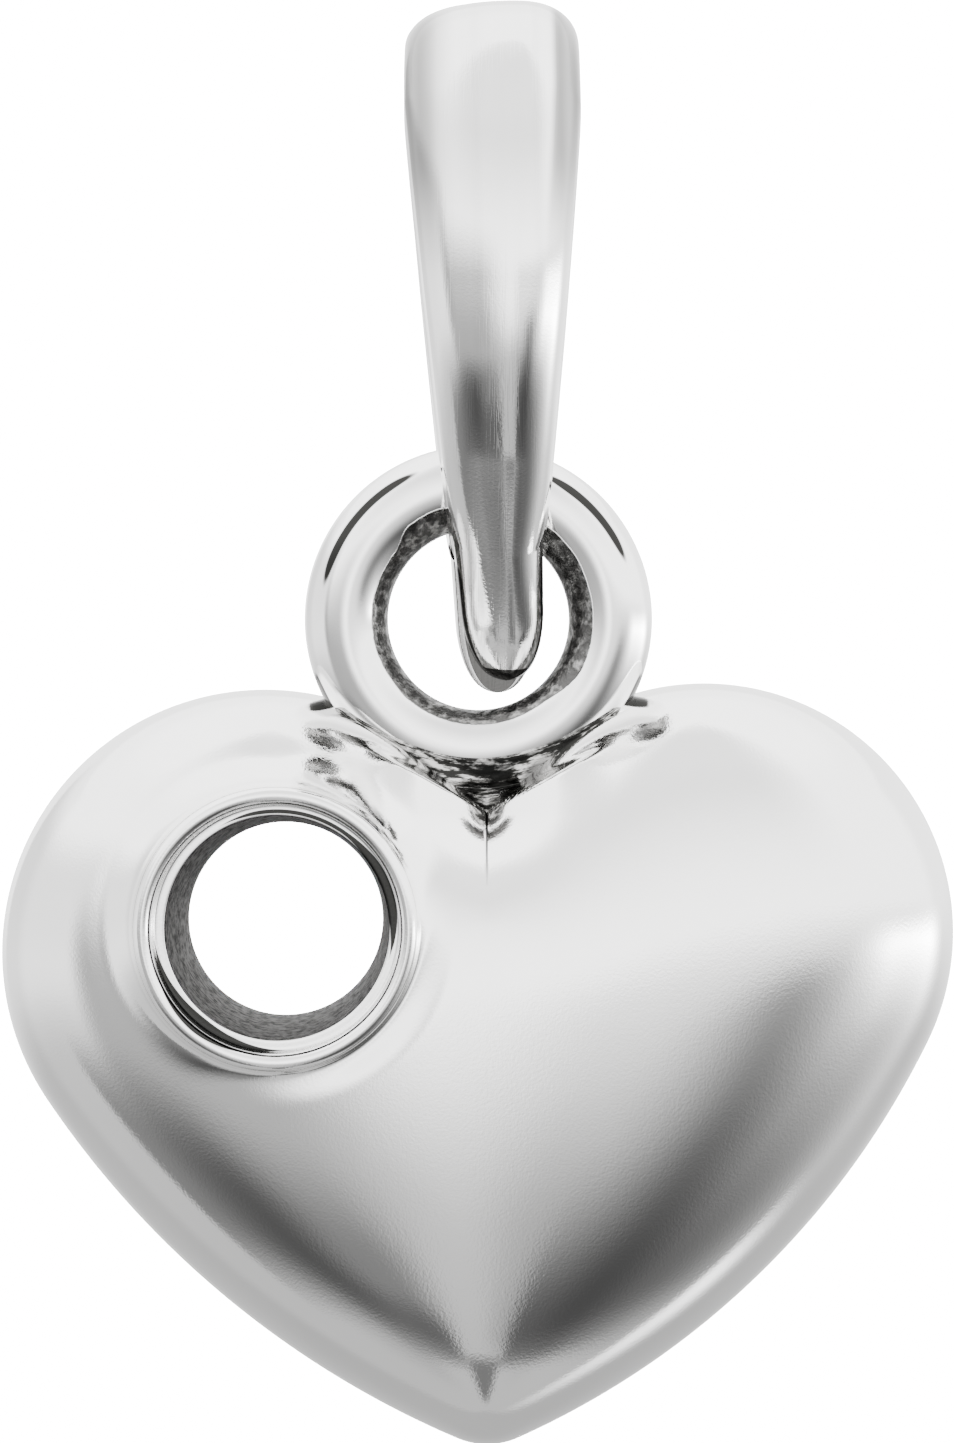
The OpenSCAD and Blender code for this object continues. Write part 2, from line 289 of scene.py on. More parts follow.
class Nodes:
    """Short calls to add nodes to a node tree and join them."""

    def __init__(self, tree: bpy.types.NodeTree) -> None:
        """Keeps the tree that the nodes go into."""
        self.tree = tree

    def add(self, kind: str, inputs: dict | None = None, **settings: object) -> bpy.types.Node:
        """Adds a node.

        Args:
            kind: Node type, without its ShaderNode prefix.
            inputs: Socket name or number to a value, or to an output socket to join.
            settings: Properties of the node.

        Returns:
            The node.
        """
        node = self.tree.nodes.new("ShaderNode" + kind)
        for key, value in settings.items():
            setattr(node, key, value)
        for key, value in (inputs or {}).items():
            if isinstance(value, bpy.types.NodeSocket):
                self.tree.links.new(value, node.inputs[key])
            else:
                node.inputs[key].default_value = value
        return node

    def math(self, operation: str, *values: object) -> bpy.types.NodeSocket:
        """Adds a Math node and returns its result."""
        return self.add("Math", dict(enumerate(values)), operation=operation).outputs[0]

    def attribute(self, name: str) -> bpy.types.NodeSocket:
        """Adds an Attribute node and returns its number."""
        return self.add("Attribute", attribute_name=name).outputs["Fac"]

    def noise(
        self, place: bpy.types.NodeSocket, scale: object, detail: float, roughness: float = 0.5
    ) -> bpy.types.NodeSocket:
        """Adds a noise at a place and returns its value. The scale is a number or a socket."""
        inputs = {"Vector": place, "Scale": scale, "Detail": detail, "Roughness": roughness}
        return self.add("TexNoise", inputs).outputs["Fac"]

    def colour(self, share: bpy.types.NodeSocket, low: object, high: object) -> bpy.types.NodeSocket:
        """Blends two colours, each three numbers or a socket, as the share goes from 0 to 1."""
        low, high = (end if isinstance(end, bpy.types.NodeSocket) else (*end, 1) for end in (low, high))
        return self.add("Mix", {0: share, 6: low, 7: high}, data_type="RGBA").outputs[2]

    def ramp(
        self, value: bpy.types.NodeSocket, start: float, end: float, low: float = 0.0, high: float = 1.0
    ) -> bpy.types.NodeSocket:
        """Smooth step of a value between start and end, put out from low to high."""
        inputs = {"Value": value, "From Min": start, "From Max": end, "To Min": low, "To Max": high}
        return self.add("MapRange", inputs, interpolation_type="SMOOTHSTEP").outputs["Result"]


def marks_group() -> bpy.types.NodeTree:
    """Builds the node group of surface marks once: soft waviness, fine grain and sparse scratches.

    Formula: the waviness is a low noise, the grain is a fine noise, and a scratch is where a noise that is
    much longer one way crosses its middle value. Each comes out as a height from 0 to 1.

    Returns:
        The group, with inputs Vector, Wave Scale, Grain Scale, Scratch Scale and Stretch, and outputs Wave,
        Grain, Scratch and Haze.
    """
    known = bpy.data.node_groups.get("surface_marks")
    if known:
        return known
    group = bpy.data.node_groups.new("surface_marks", "ShaderNodeTree")
    face = group.interface
    face.new_socket("Vector", in_out="INPUT", socket_type="NodeSocketVector")
    for label in ("Wave Scale", "Grain Scale", "Scratch Scale", "Stretch"):
        face.new_socket(label, in_out="INPUT", socket_type="NodeSocketFloat")
    for label in ("Wave", "Grain", "Scratch", "Haze"):
        face.new_socket(label, in_out="OUTPUT", socket_type="NodeSocketFloat")
    n = Nodes(group)
    come, go = group.nodes.new("NodeGroupInput"), group.nodes.new("NodeGroupOutput")
    place = come.outputs["Vector"]
    wave = n.noise(place, come.outputs["Wave Scale"], 1.0, 0.4)
    grain = n.noise(place, come.outputs["Grain Scale"], 2.0, 0.6)
    parts = n.add("SeparateXYZ", {"Vector": place})
    squeezed = n.math("MULTIPLY", parts.outputs["Z"], come.outputs["Stretch"])
    drawn = n.add("CombineXYZ", {"X": parts.outputs["X"], "Y": parts.outputs["Y"], "Z": squeezed})
    line = n.noise(drawn.outputs[0], come.outputs["Scratch Scale"], 3.0, 0.7)
    off = n.math("ABSOLUTE", n.math("SUBTRACT", line, 0.5))
    scratch = n.ramp(off, 0.0, 0.02)
    haze = n.noise(place, n.math("MULTIPLY", come.outputs["Wave Scale"], 2.5), 4.0, 0.65)
    for label, value in (("Wave", wave), ("Grain", grain), ("Scratch", scratch), ("Haze", haze)):
        group.links.new(value, go.inputs[label])
    return group


@dataclass(frozen=True)
class MetalFinish:
    """A metal with marks at three scales. Depths are in mm, scales in marks per mm."""

    name: str
    colour: tuple[float, float, float]
    shade: tuple[float, float, float]
    roughness: tuple[float, float]
    wave_scale: float = 0.5
    wave_depth: float = 0.0
    grain_scale: float = 30.0
    grain_depth: float = 0.0
    scratch_scale: float = 4.0
    scratch_depth: float = 0.0
    stretch: float = 0.1
    flow: Flow = Flow.EVEN
    rough_mask: str = ""
    # the masked as-cast part is rough, and its dark colour with lighter specks is painted shade
    masked_shade_colour: tuple[float, float, float] = (0.085, 0.084, 0.082)
    masked_speck: tuple[float, float, float] = (0.34, 0.337, 0.33)
    masked_roughness: float = 0.5
    masked_grain: float = 0.0
    haze_band: tuple[float, float] = (0.35, 0.68)
    # painted shade: a point attribute over a half turns the colour dark, for shade and dark reflections
    painted_shade: bool = False
    painted_shade_colour: tuple[float, float, float] = (0.022, 0.022, 0.021)
    # film: a point attribute that darkens the colour by its share, as painted shade
    film: bool = False
    edge_tint: float = 1.0

    def material(self) -> bpy.types.Material:
        """Builds the material.

        Formula: the haze blends colour to shade and the low to the high roughness, and the three marks
        are bumps laid over each other. Where the point attribute named rough_mask rises to 1, the surface
        turns to the as-cast roughness and grain, with a dark colour and lighter specks that are painted shade.
        Where the point attribute of painted shade is over a half, the colour turns dark as painted shade and
        painted dark reflections, and the attribute film darkens it by its own share, as painted shade too.

        Returns:
            The material, or the one already made under this name.
        """
        known = bpy.data.materials.get(self.name)
        if known:
            return known
        made = bpy.data.materials.new(self.name)
        made.use_nodes = True
        tree = made.node_tree
        n = Nodes(tree)
        shader = tree.nodes["Principled BSDF"]
        shader.inputs["Metallic"].default_value = 1.0
        shader.inputs["Specular Tint"].default_value = (self.edge_tint, self.edge_tint, self.edge_tint, 1)
        place = self._place(n)
        marks = n.add("Group", node_tree=marks_group())
        tree.links.new(place, marks.inputs["Vector"])
        scales = {"Wave Scale": self.wave_scale, "Grain Scale": self.grain_scale,
                  "Scratch Scale": self.scratch_scale, "Stretch": self.stretch}
        for label, value in scales.items():
            marks.inputs[label].default_value = value
        haze = n.ramp(marks.outputs["Haze"], *self.haze_band)
        colour = n.colour(haze, self.colour, self.shade)
        smoothest, roughest = self.roughness
        rough = n.math("ADD", n.math("MULTIPLY", haze, roughest - smoothest), smoothest)
        normal = self._bump(n, marks.outputs["Wave"], self.wave_depth, None)
        normal = self._bump(n, marks.outputs["Scratch"], self.scratch_depth, normal)
        if self.rough_mask:
            uneven = n.math("MULTIPLY", n.math("SUBTRACT", marks.outputs["Haze"], 0.5), 0.9)
            mask = n.ramp(n.math("ADD", n.attribute(self.rough_mask), uneven), 0.35, 0.65)
            rough = n.add("Mix", {0: mask, 2: rough, 3: self.masked_roughness}, data_type="FLOAT").outputs[0]
            coarse = n.noise(place, self.grain_scale * 0.35, 4.0)
            # dark as-cast colour with lighter specks: painted shade
            cast = n.colour(n.ramp(coarse, 0.46, 0.72), self.masked_shade_colour, self.masked_speck)
            colour = n.colour(mask, colour, cast)
            normal = self._bump(n, n.math("MULTIPLY", coarse, mask), self.masked_grain, normal)
        # painted shade on the bail's sides and inside, by the film attribute
        if self.film:
            colour = n.colour(n.attribute("film"), colour, self.painted_shade_colour)
        # painted shade and painted dark reflections, where the attribute passes a half
        if self.painted_shade:
            colour = n.colour(n.ramp(n.attribute("painted_shade"), 0.4, 0.6), colour, self.painted_shade_colour)
        normal = self._bump(n, marks.outputs["Grain"], self.grain_depth, normal)
        tree.links.new(colour, shader.inputs["Base Color"])
        tree.links.new(rough, shader.inputs["Roughness"])
        if normal is not None:
            tree.links.new(normal, shader.inputs["Normal"])
        return made

    def _place(self, n: Nodes) -> bpy.types.NodeSocket:
        """Place on the surface in mm: the object's own, or across and along a strip from its attributes."""
        if self.flow is Flow.LENGTHWISE:
            return n.add("CombineXYZ", {"X": n.attribute("across"), "Z": n.attribute("along")}).outputs[0]
        where = n.add("TexCoord").outputs["Object"]
        return n.add("Mapping", {"Vector": where, "Scale": (1000, 1000, 1000)}).outputs[0]

    @staticmethod
    def _bump(
        n: Nodes, height: bpy.types.NodeSocket, depth: float, under: bpy.types.NodeSocket | None
    ) -> bpy.types.NodeSocket | None:
        """Lays a bump of a depth in mm over the normal under it, and leaves a bump of no depth out."""
        if depth <= 0:
            return under
        inputs = {"Height": height, "Distance": depth * MM, "Strength": 1.0}
        if under is not None:
            inputs["Normal"] = under
        return n.add("Bump", inputs).outputs["Normal"]


HEART_POLISH = MetalFinish(
    name="heart_polish", colour=(0.94, 0.938, 0.932), shade=(0.925, 0.922, 0.915), roughness=(0.05, 0.085),
    wave_scale=0.55, wave_depth=0.004, grain_scale=34, grain_depth=0.0009,
    scratch_scale=5, scratch_depth=0.00004, stretch=0.12, painted_shade=True)
# the bore is rough as cast; its dark colour and low edge tint are painted shade of the hole
SEAT_CAST_PAINTED_SHADE = MetalFinish(
    name="seat_as_cast_painted_shade", colour=(0.2, 0.198, 0.196), shade=(0.085, 0.084, 0.083), roughness=(0.45, 0.62),
    wave_scale=5, wave_depth=0.004, grain_scale=24, grain_depth=0.008,
    haze_band=(0.42, 0.6), painted_shade=True, edge_tint=0.28)
# the ring's as-cast inside is rough, and its dark colour is painted shade
RING_POLISH = MetalFinish(
    name="ring_polish", colour=(0.94, 0.938, 0.932), shade=(0.92, 0.917, 0.91), roughness=(0.05, 0.09),
    wave_scale=1.1, wave_depth=0.003, grain_scale=30, grain_depth=0.0002,
    scratch_scale=6, scratch_depth=0.00004, rough_mask="inner", masked_roughness=0.3, masked_grain=0.02,
    painted_shade=True)
# the darker colour is painted shade on the bail's sides, tail and inside
BAIL_POLISH = MetalFinish(
    name="bail_polish", colour=(0.94, 0.938, 0.932), shade=(0.92, 0.917, 0.91), roughness=(0.05, 0.085),
    wave_scale=0.6, wave_depth=0.0015, grain_scale=32, grain_depth=0.0007,
    scratch_scale=9, scratch_depth=0.0002, stretch=0.03, flow=Flow.LENGTHWISE,
    painted_shade=True, painted_shade_colour=(0.07, 0.069, 0.067), film=True)
SOLDER_FLOW = MetalFinish(
    name="solder_flow", colour=(0.46, 0.455, 0.445), shade=(0.022, 0.022, 0.021), roughness=(0.1, 0.28),
    wave_scale=2.3, wave_depth=0.03, grain_scale=14, grain_depth=0.003,
    scratch_scale=5, scratch_depth=0.0006, stretch=0.3, flow=Flow.LENGTHWISE, haze_band=(0.42, 0.52))


@dataclass(frozen=True)
class Hang:
    """How the pieces hang below the chain's seat: the sizes that set it, and the places that follow. In mm."""

    ring_d: float = 3.59
    wire_d: float = 0.88
    wire_flat: float = 0.02
    bail_neck_w: float = 0.92
    bail_lean: float = 0.06
    opening_len: float = 5.165
    cradle_gap: float = 0.09
    hang_shift: float = 0.048
    ring_shift: float = 0.09
    ring_forward: float = 0.295
    notch_gap: float = 0.19
    tail_gap: float = 0.14
    tail_step: float = 0.13

    @property
    def wire_r(self) -> float:
        """Radius of the ring's wire."""
        return self.wire_d / 2

    @property
    def ring_mean_r(self) -> float:
        """Radius of the circle that the wire's middle runs on."""
        return (self.ring_d - self.wire_d) / 2

    @property
    def hinge_rise(self) -> float:
        """Height of the hinge over the wire's middle.

        Formula: half of what the wire's underside rises by from the ring's top to the bail's edge.
        """
        edge_x = self.bail_lean + self.hang_shift + self.ring_shift + self.bail_neck_w / 2
        edge_z = math.sqrt(self.ring_mean_r ** 2 - edge_x ** 2)
        wire_at_edge = self.wire_r * self.ring_mean_r / edge_z
        return (self.ring_mean_r - edge_z + wire_at_edge - self.wire_r) / 2

    @property
    def cradle_r(self) -> float:
        """Radius of the bail's cradle, which clears the wire by cradle_gap."""
        return self.hinge_rise + self.wire_r + self.cradle_gap

    @property
    def ring_centre(self) -> np.ndarray:
        """Centre of the ring, which hangs in the cradle at the opening's lower end."""
        z = self.cradle_r - self.opening_len + self.hinge_rise - self.ring_mean_r
        return np.array([-self.hang_shift - self.ring_shift, 0.0, z])

    @property
    def tail_end(self) -> float:
        """Height of the front layer's end, tail_step and tail_gap over the wire below it."""
        return self.ring_centre[2] - self.ring_mean_r + self.wire_r + self.tail_gap + self.tail_step

    def heart_place(self, notch: np.ndarray) -> np.ndarray:
        """Place of the heart's tip, so that the ring stands notch_gap over the notch."""
        z = self.ring_centre[2] - self.ring_d / 2 - self.notch_gap - notch[1]
        return np.array([-self.hang_shift, self.ring_forward, z])


@dataclass
class HeartOutline:
    """Outline of the heart in mm from its tip: tip, flanks and lobes are arcs that run into each other."""

    right_lobe: tuple[float, float] = (2.25, 5.3)
    right_lobe_r: float = 2.575
    right_flank_r: float = 8.65
    left_lobe: tuple[float, float] = (2.3, 5.09)
    left_lobe_r: float = 2.72
    left_flank_r: float = 9.7
    tip_r: float = 0.8
    tip_steps: int = 14
    flank_steps: int = 84
    lobe_steps: int = 118

    def notch(self) -> np.ndarray:
        """Where the two lobes cross at the top."""
        mirrored = np.array([-self.left_lobe[0], self.left_lobe[1]])
        return meet(np.array(self.right_lobe), self.right_lobe_r, mirrored, self.left_lobe_r, -1)

    def _half(self, lobe: tuple[float, float], lobe_r: float, flank_r: float, end: np.ndarray) -> np.ndarray:
        """Half of the outline from the tip up to the notch.

        Formula: the flank's circle holds the tip's and the lobe's circles on its inside, so its centre is
        flank_r - tip_r from the tip's and flank_r - lobe_r from the lobe's.

        Args:
            lobe: Centre of the lobe.
            lobe_r: Radius of the lobe.
            flank_r: Radius of the flank.
            end: Last point, which is left out.

        Returns:
            Points of shape (n, 2).
        """
        tip, top = np.array([0.0, self.tip_r]), np.array(lobe)
        flank = meet(top, flank_r - lobe_r, tip, flank_r - self.tip_r, -1)
        a_tip, a_lobe = bearing(flank, tip), bearing(flank, top)
        return np.concatenate([
            arc(tip, self.tip_r, -math.pi / 2, a_tip, self.tip_steps),
            arc(flank, flank_r, a_tip, a_lobe, self.flank_steps),
            arc(top, lobe_r, a_lobe, bearing(top, end), self.lobe_steps),
        ])

    def points(self) -> np.ndarray:
        """The whole outline once round from the tip, anticlockwise as the viewer sees it."""
        notch = self.notch()
        right = self._half(self.right_lobe, self.right_lobe_r, self.right_flank_r, notch)
        mirrored = np.array([-notch[0], notch[1]])
        left = self._half(self.left_lobe, self.left_lobe_r, self.left_flank_r, mirrored)
        return np.concatenate([right, notch[None], (left * [-1, 1])[:0:-1]])


@dataclass
class HeartDomes:
    """The two domes over the outline, as heights over the rim's plane."""

    outline: HeartOutline
    front: float = 1.95
    back: float = 1.2
    fullness: float = 1.15
    crease_len: float = 1.15
    crease_depth: float = 0.3
    crease_w: float = 0.35
    centre_share: float = 0.64
    depth_margin: float = 1.03
    fill_depth: float = 0.95
    fill_w: float = 0.65
    fill_turn: float = math.radians(27)
    fill_low: tuple[float, float] = (1.0, 1.5)
    fill_high: tuple[float, float] = (-0.1, -0.02)
    # the crease's fine line of painted shade
    line_len: float = 0.74
    line_dark: float = 0.86
    block: int = 3000

    def __post_init__(self) -> None:
        """Works out the outline, its centre and the full depth once."""
        self.edge = self.outline.points()
        self.notch = self.outline.notch()
        self.centre = np.array([self.notch[0], self.notch[1] * self.centre_share])
        self.full = float(self.depth(self.centre[None])[0]) * self.depth_margin

    def _depth_block(self, p: np.ndarray) -> np.ndarray:
        """Depth of a block of points, by the formula of depth()."""
        v = self.edge[None] - p[:, None]
        r = np.linalg.norm(v, axis=2)
        w, q = np.roll(v, -1, 1), np.roll(r, -1, 1)
        cross = v[..., 0] * w[..., 1] - v[..., 1] * w[..., 0]
        dot = v[..., 0] * w[..., 0] + v[..., 1] * w[..., 1]
        return 2 / ((1 / r + 1 / q) * cross / (r * q + dot)).sum(axis=1)

    def depth(self, p: np.ndarray) -> np.ndarray:
        """Depth of points inside the outline.

        Formula: two over the sum, for each edge of the outline seen from the point, of (1/a + 1/b) times the
        tangent of half the angle between its ends' directions. It equals the true distance beside the edge
        and stays smooth inside.

        Args:
            p: Points of shape (n, 2).

        Returns:
            Depths of shape (n,).
        """
        blocks = np.array_split(p, max(1, len(p) // self.block))
        return np.concatenate([self._depth_block(block) for block in blocks])

    def _swell(self, near: np.ndarray | float) -> np.ndarray:
        """Share of a dome's height at a share of its full depth."""
        return np.sqrt(np.clip(1 - (1 - near) ** self.fullness, 0, 1))

    def crease_line(self, points: np.ndarray) -> np.ndarray:
        """Painted shade of the fine line at the bottom of the crease.

        Formula: line_dark at the notch, falling straight to a half over the line's length.

        Args:
            points: Points of shape (n, 3) in the tip's frame.

        Returns:
            Painted shade of each point, 0 beside the line.
        """
        below = (self.notch[1] - points[:, 2]) / self.line_len
        on = (np.abs(points[:, 0] - self.notch[0]) < 1e-6) & (points[:, 1] < 0) & (below < 1)
        return np.where(on, blend(self.line_dark, 0.5, below), 0.0)

    def height(self, p: np.ndarray, face: Face) -> np.ndarray:
        """Height of a dome over the rim.

        Formula: sqrt(1 - (1 - depth / full)^fullness) times the dome's height, from which the crease takes
        fade^2 exp(-|x - notch| / width), with the fade running out below the notch. Beside the notch on the
        front the steep edge is filled by the dome's own tangent, as solder that is polished away leaves it.

        Args:
            p: Points (x, z) of any shape with 2 in the last axis.
            face: Front or back dome.

        Returns:
            Heights in the shape of p without its last axis.
        """
        flat = p.reshape(-1, 2)
        near = np.clip(self.depth(flat) / self.full, 0, 1)
        swell = self._swell(near)
        if face is Face.FRONT:
            knee = self.fill_depth / self.full
            step = 1e-4
            slope = (self._swell(knee + step) - self._swell(knee)) / step
            straight = self._swell(knee) + slope * (near - knee)
            aside, below = np.abs(flat[:, 0] - self.notch[0]), self.notch[1] - flat[:, 1]
            under = (below + aside * math.tan(self.fill_turn)) * math.cos(self.fill_turn)
            share = (1 - rising(aside, self.fill_w, 2 * self.fill_w)) * (1 - rising(below, *self.fill_low))
            share = share * rising(under, *self.fill_high)
            swell = np.where(near < knee, blend(swell, straight, share), swell)
        fade = np.clip(1 - (self.notch[1] - flat[:, 1]) / self.crease_len, 0, 1)
        crease = fade * fade * np.exp(-np.abs(flat[:, 0] - self.notch[0]) / self.crease_w)
        dome = self.front if face is Face.FRONT else self.back
        return (swell * (dome - self.crease_depth * crease)).reshape(p.shape[:-1])


@dataclass(frozen=True)
class Crescent:
    """A crescent of painted dark reflection in the seat, at a middle radius and with a half width in mm. The
    pairs are the degrees round the axis, 0 to the right, over which it opens, thins to half its width and
    closes."""

    middle: float
    half: float
    opens: tuple[float, float]
    thins: tuple[float, float] | None
    closes: tuple[float, float]

    def half_width(self, turn: np.ndarray) -> np.ndarray:
        """Half width in mm at angles in degrees from -60 to 300."""
        width = self.half * rising(turn, *self.opens) * (1 - rising(turn, *self.closes))
        return width if self.thins is None else width * (1 - 0.5 * rising(turn, *self.thins))


@dataclass
class StoneSeat:
    """The open seat for a stone in the left lobe, as one surface carried round its axis. In mm."""

    x: float = -2.12
    z: float = 5.4
    radius: float = 1.25
    depth: float = 0.5
    ledge_r: float = 1.13
    hole_r: float = 1.02
    lip_top: float = 1.98
    bead_r: float = 0.085
    flare: float = 0.40
    back_flare: float = 0.30
    edge_r: float = 0.08
    corner_r: float = 0.035
    ledge_edge_r: float = 0.02
    flare_rise: float = 0.16
    # crescents of painted dark reflection in the seat's hollow
    crescents: tuple[Crescent, ...] = (
        Crescent(middle=1.235, half=0.082, opens=(174, 236), thins=None, closes=(226, 286)),
        Crescent(middle=1.175, half=0.06, opens=(-26, 14), thins=(26, 56), closes=(96, 136)),
    )
    crescent_soft: float = 0.05
    crescent_inset: float = 0.008
    cols: int = 256

    def ring(self, radius: np.ndarray | float) -> np.ndarray:
        """Points (x, z) of circles round the axis, one row for each radius."""
        a = 2 * math.pi * np.arange(self.cols) / self.cols
        r = np.atleast_1d(radius)
        r = np.broadcast_to(r[:, None] if r.ndim == 1 else r, (r.shape[0], self.cols))
        return np.stack([self.x + r * np.cos(a), self.z + r * np.sin(a)], axis=-1)

    def _crescents(self, radius: np.ndarray) -> np.ndarray:
        """Painted dark reflections in the seat's hollow: a crescent low on the left by the wall and one on the
        right ledge.

        Formula: the painted shade passes a half where the distance from a crescent's middle radius equals its
        half width, less a small inset that lets it end in a point.

        Args:
            radius: Radius of each row of the surface, or 0 for a row without painted shade.

        Returns:
            Array of shape (rows, columns).
        """
        turn = (np.degrees(2 * math.pi * np.arange(self.cols) / self.cols) + 60) % 360 - 60
        made = np.zeros((len(radius), self.cols))
        for crescent in self.crescents:
            reach = crescent.half_width(turn) - self.crescent_inset
            off = np.abs(radius[:, None] - crescent.middle)
            made = np.maximum(made, 0.5 + (reach[None] - off) / self.crescent_soft)
        return np.clip(made, 0, 1)

    def surface(self, domes: HeartDomes) -> tuple[np.ndarray, np.ndarray, np.ndarray]:
        """The seat's rows from the front dome through the seat to the back dome.

        Formula: a cubic curve leaves the dome along its slope and rises upright into a half-round bead of
        radius bead_r; the wall, the ledge and the tapered bore follow as straight rows with rounded corners;
        a quarter-round edge and a few rows on the back dome close it.

        Args:
            domes: The heart's domes.

        Returns:
            Points of shape (rows, cols, 3) in the tip's frame, the finish number of each gap between rows,
            and the painted shade of each point.
        """
        one = np.ones(self.cols)
        bead_mid = self.radius + self.bead_r
        outer = self.radius + 2 * self.bead_r
        zc = self.lip_top - self.bead_r
        r_out = outer + self.flare
        delta = 0.01
        h0 = domes.height(self.ring(r_out), Face.FRONT)[0]
        h1 = domes.height(self.ring(r_out - delta), Face.FRONT)[0]
        slope = (h1 - h0) / delta
        run = 0.5 * np.hypot(r_out - outer, h0 - zc)
        away = 1 / np.sqrt(1 + slope ** 2)
        t = np.linspace(0, 1, 21)[:, None]
        p = [np.stack([r_out * one, h0]), np.stack([r_out - run * away, h0 + run * slope * away]),
             np.stack([outer * one, zc - np.minimum(run, self.flare_rise)]),
             np.stack([outer * one, zc * one])]
        shares = [(1 - t) ** 3, 3 * t * (1 - t) ** 2, 3 * t * t * (1 - t), t ** 3]
        r_fil, h_fil = (sum(share * point[k] for share, point in zip(shares, p)) for k in (0, 1))
        a = np.linspace(0, math.pi, 15)[1:, None]
        r_bead, h_bead = bead_mid + self.bead_r * np.cos(a) * one, zc + self.bead_r * np.sin(a) * one
        low = self.lip_top - self.depth
        corner, brow = self.corner_r, self.ledge_edge_r
        b = np.linspace(0, math.pi / 2, 6)[:, None]
        wall = np.linspace(zc, low + corner, 6)[1:-1, None]
        r_wall, h_wall = self.radius * one + 0 * wall, wall * one
        r_cor, h_cor = self.radius - corner * (1 - np.cos(b)) * one, low + corner * (1 - np.sin(b)) * one
        r_led = np.linspace(self.radius - corner, self.ledge_r + brow, 4)[1:-1, None] * one
        h_led = low + 0 * r_led
        r_lip, h_lip = self.ledge_r + brow * (1 - np.sin(b)) * one, low - brow * (1 - np.cos(b)) * one
        h_back = -domes.height(self.ring(self.hole_r + self.edge_r), Face.BACK)[0]
        s = np.linspace(0, 1, 19)[1:, None]
        end = h_back + self.edge_r
        r_bore = self.ledge_r + (self.hole_r - self.ledge_r) * s * one
        h_bore = (low - brow) + (end - (low - brow)) * s
        r_edge = self.hole_r + self.edge_r * (1 - np.cos(b[1:])) * one
        h_edge = end - self.edge_r * np.sin(b[1:]) * one
        r_back = np.linspace(self.hole_r + self.edge_r, self.hole_r + self.back_flare, 7)[1:]
        back_xz = self.ring(r_back)
        h_outer = -domes.height(back_xz, Face.BACK)
        r = np.concatenate([r_fil, r_bead, r_wall, r_cor, r_led, r_lip, r_bore, r_edge])
        h = np.concatenate([h_fil, h_bead, h_wall, h_cor, h_led, h_lip, h_bore, h_edge])
        xz = np.concatenate([self.ring(r), back_xz])
        y = -np.concatenate([h, h_outer])
        first_bore = sum(len(part) for part in (r_fil, r_bead, r_wall, r_cor, r_led)) + 2
        last_bore = first_bore + len(r_lip) + len(r_bore) - 1
        number = np.arange(len(xz) - 1)
        finish = ((number >= first_bore) & (number < last_bore)).astype(np.int32)
        inside = np.zeros(len(xz))
        inside[len(r_fil) + 7:len(r)] = r[len(r_fil) + 7:, 0]
        # painted dark reflections: the crescents in the seat's hollow
        painted_shade = self._crescents(inside)
        return np.stack([xz[..., 0], y, xz[..., 1]], axis=-1), finish, painted_shade


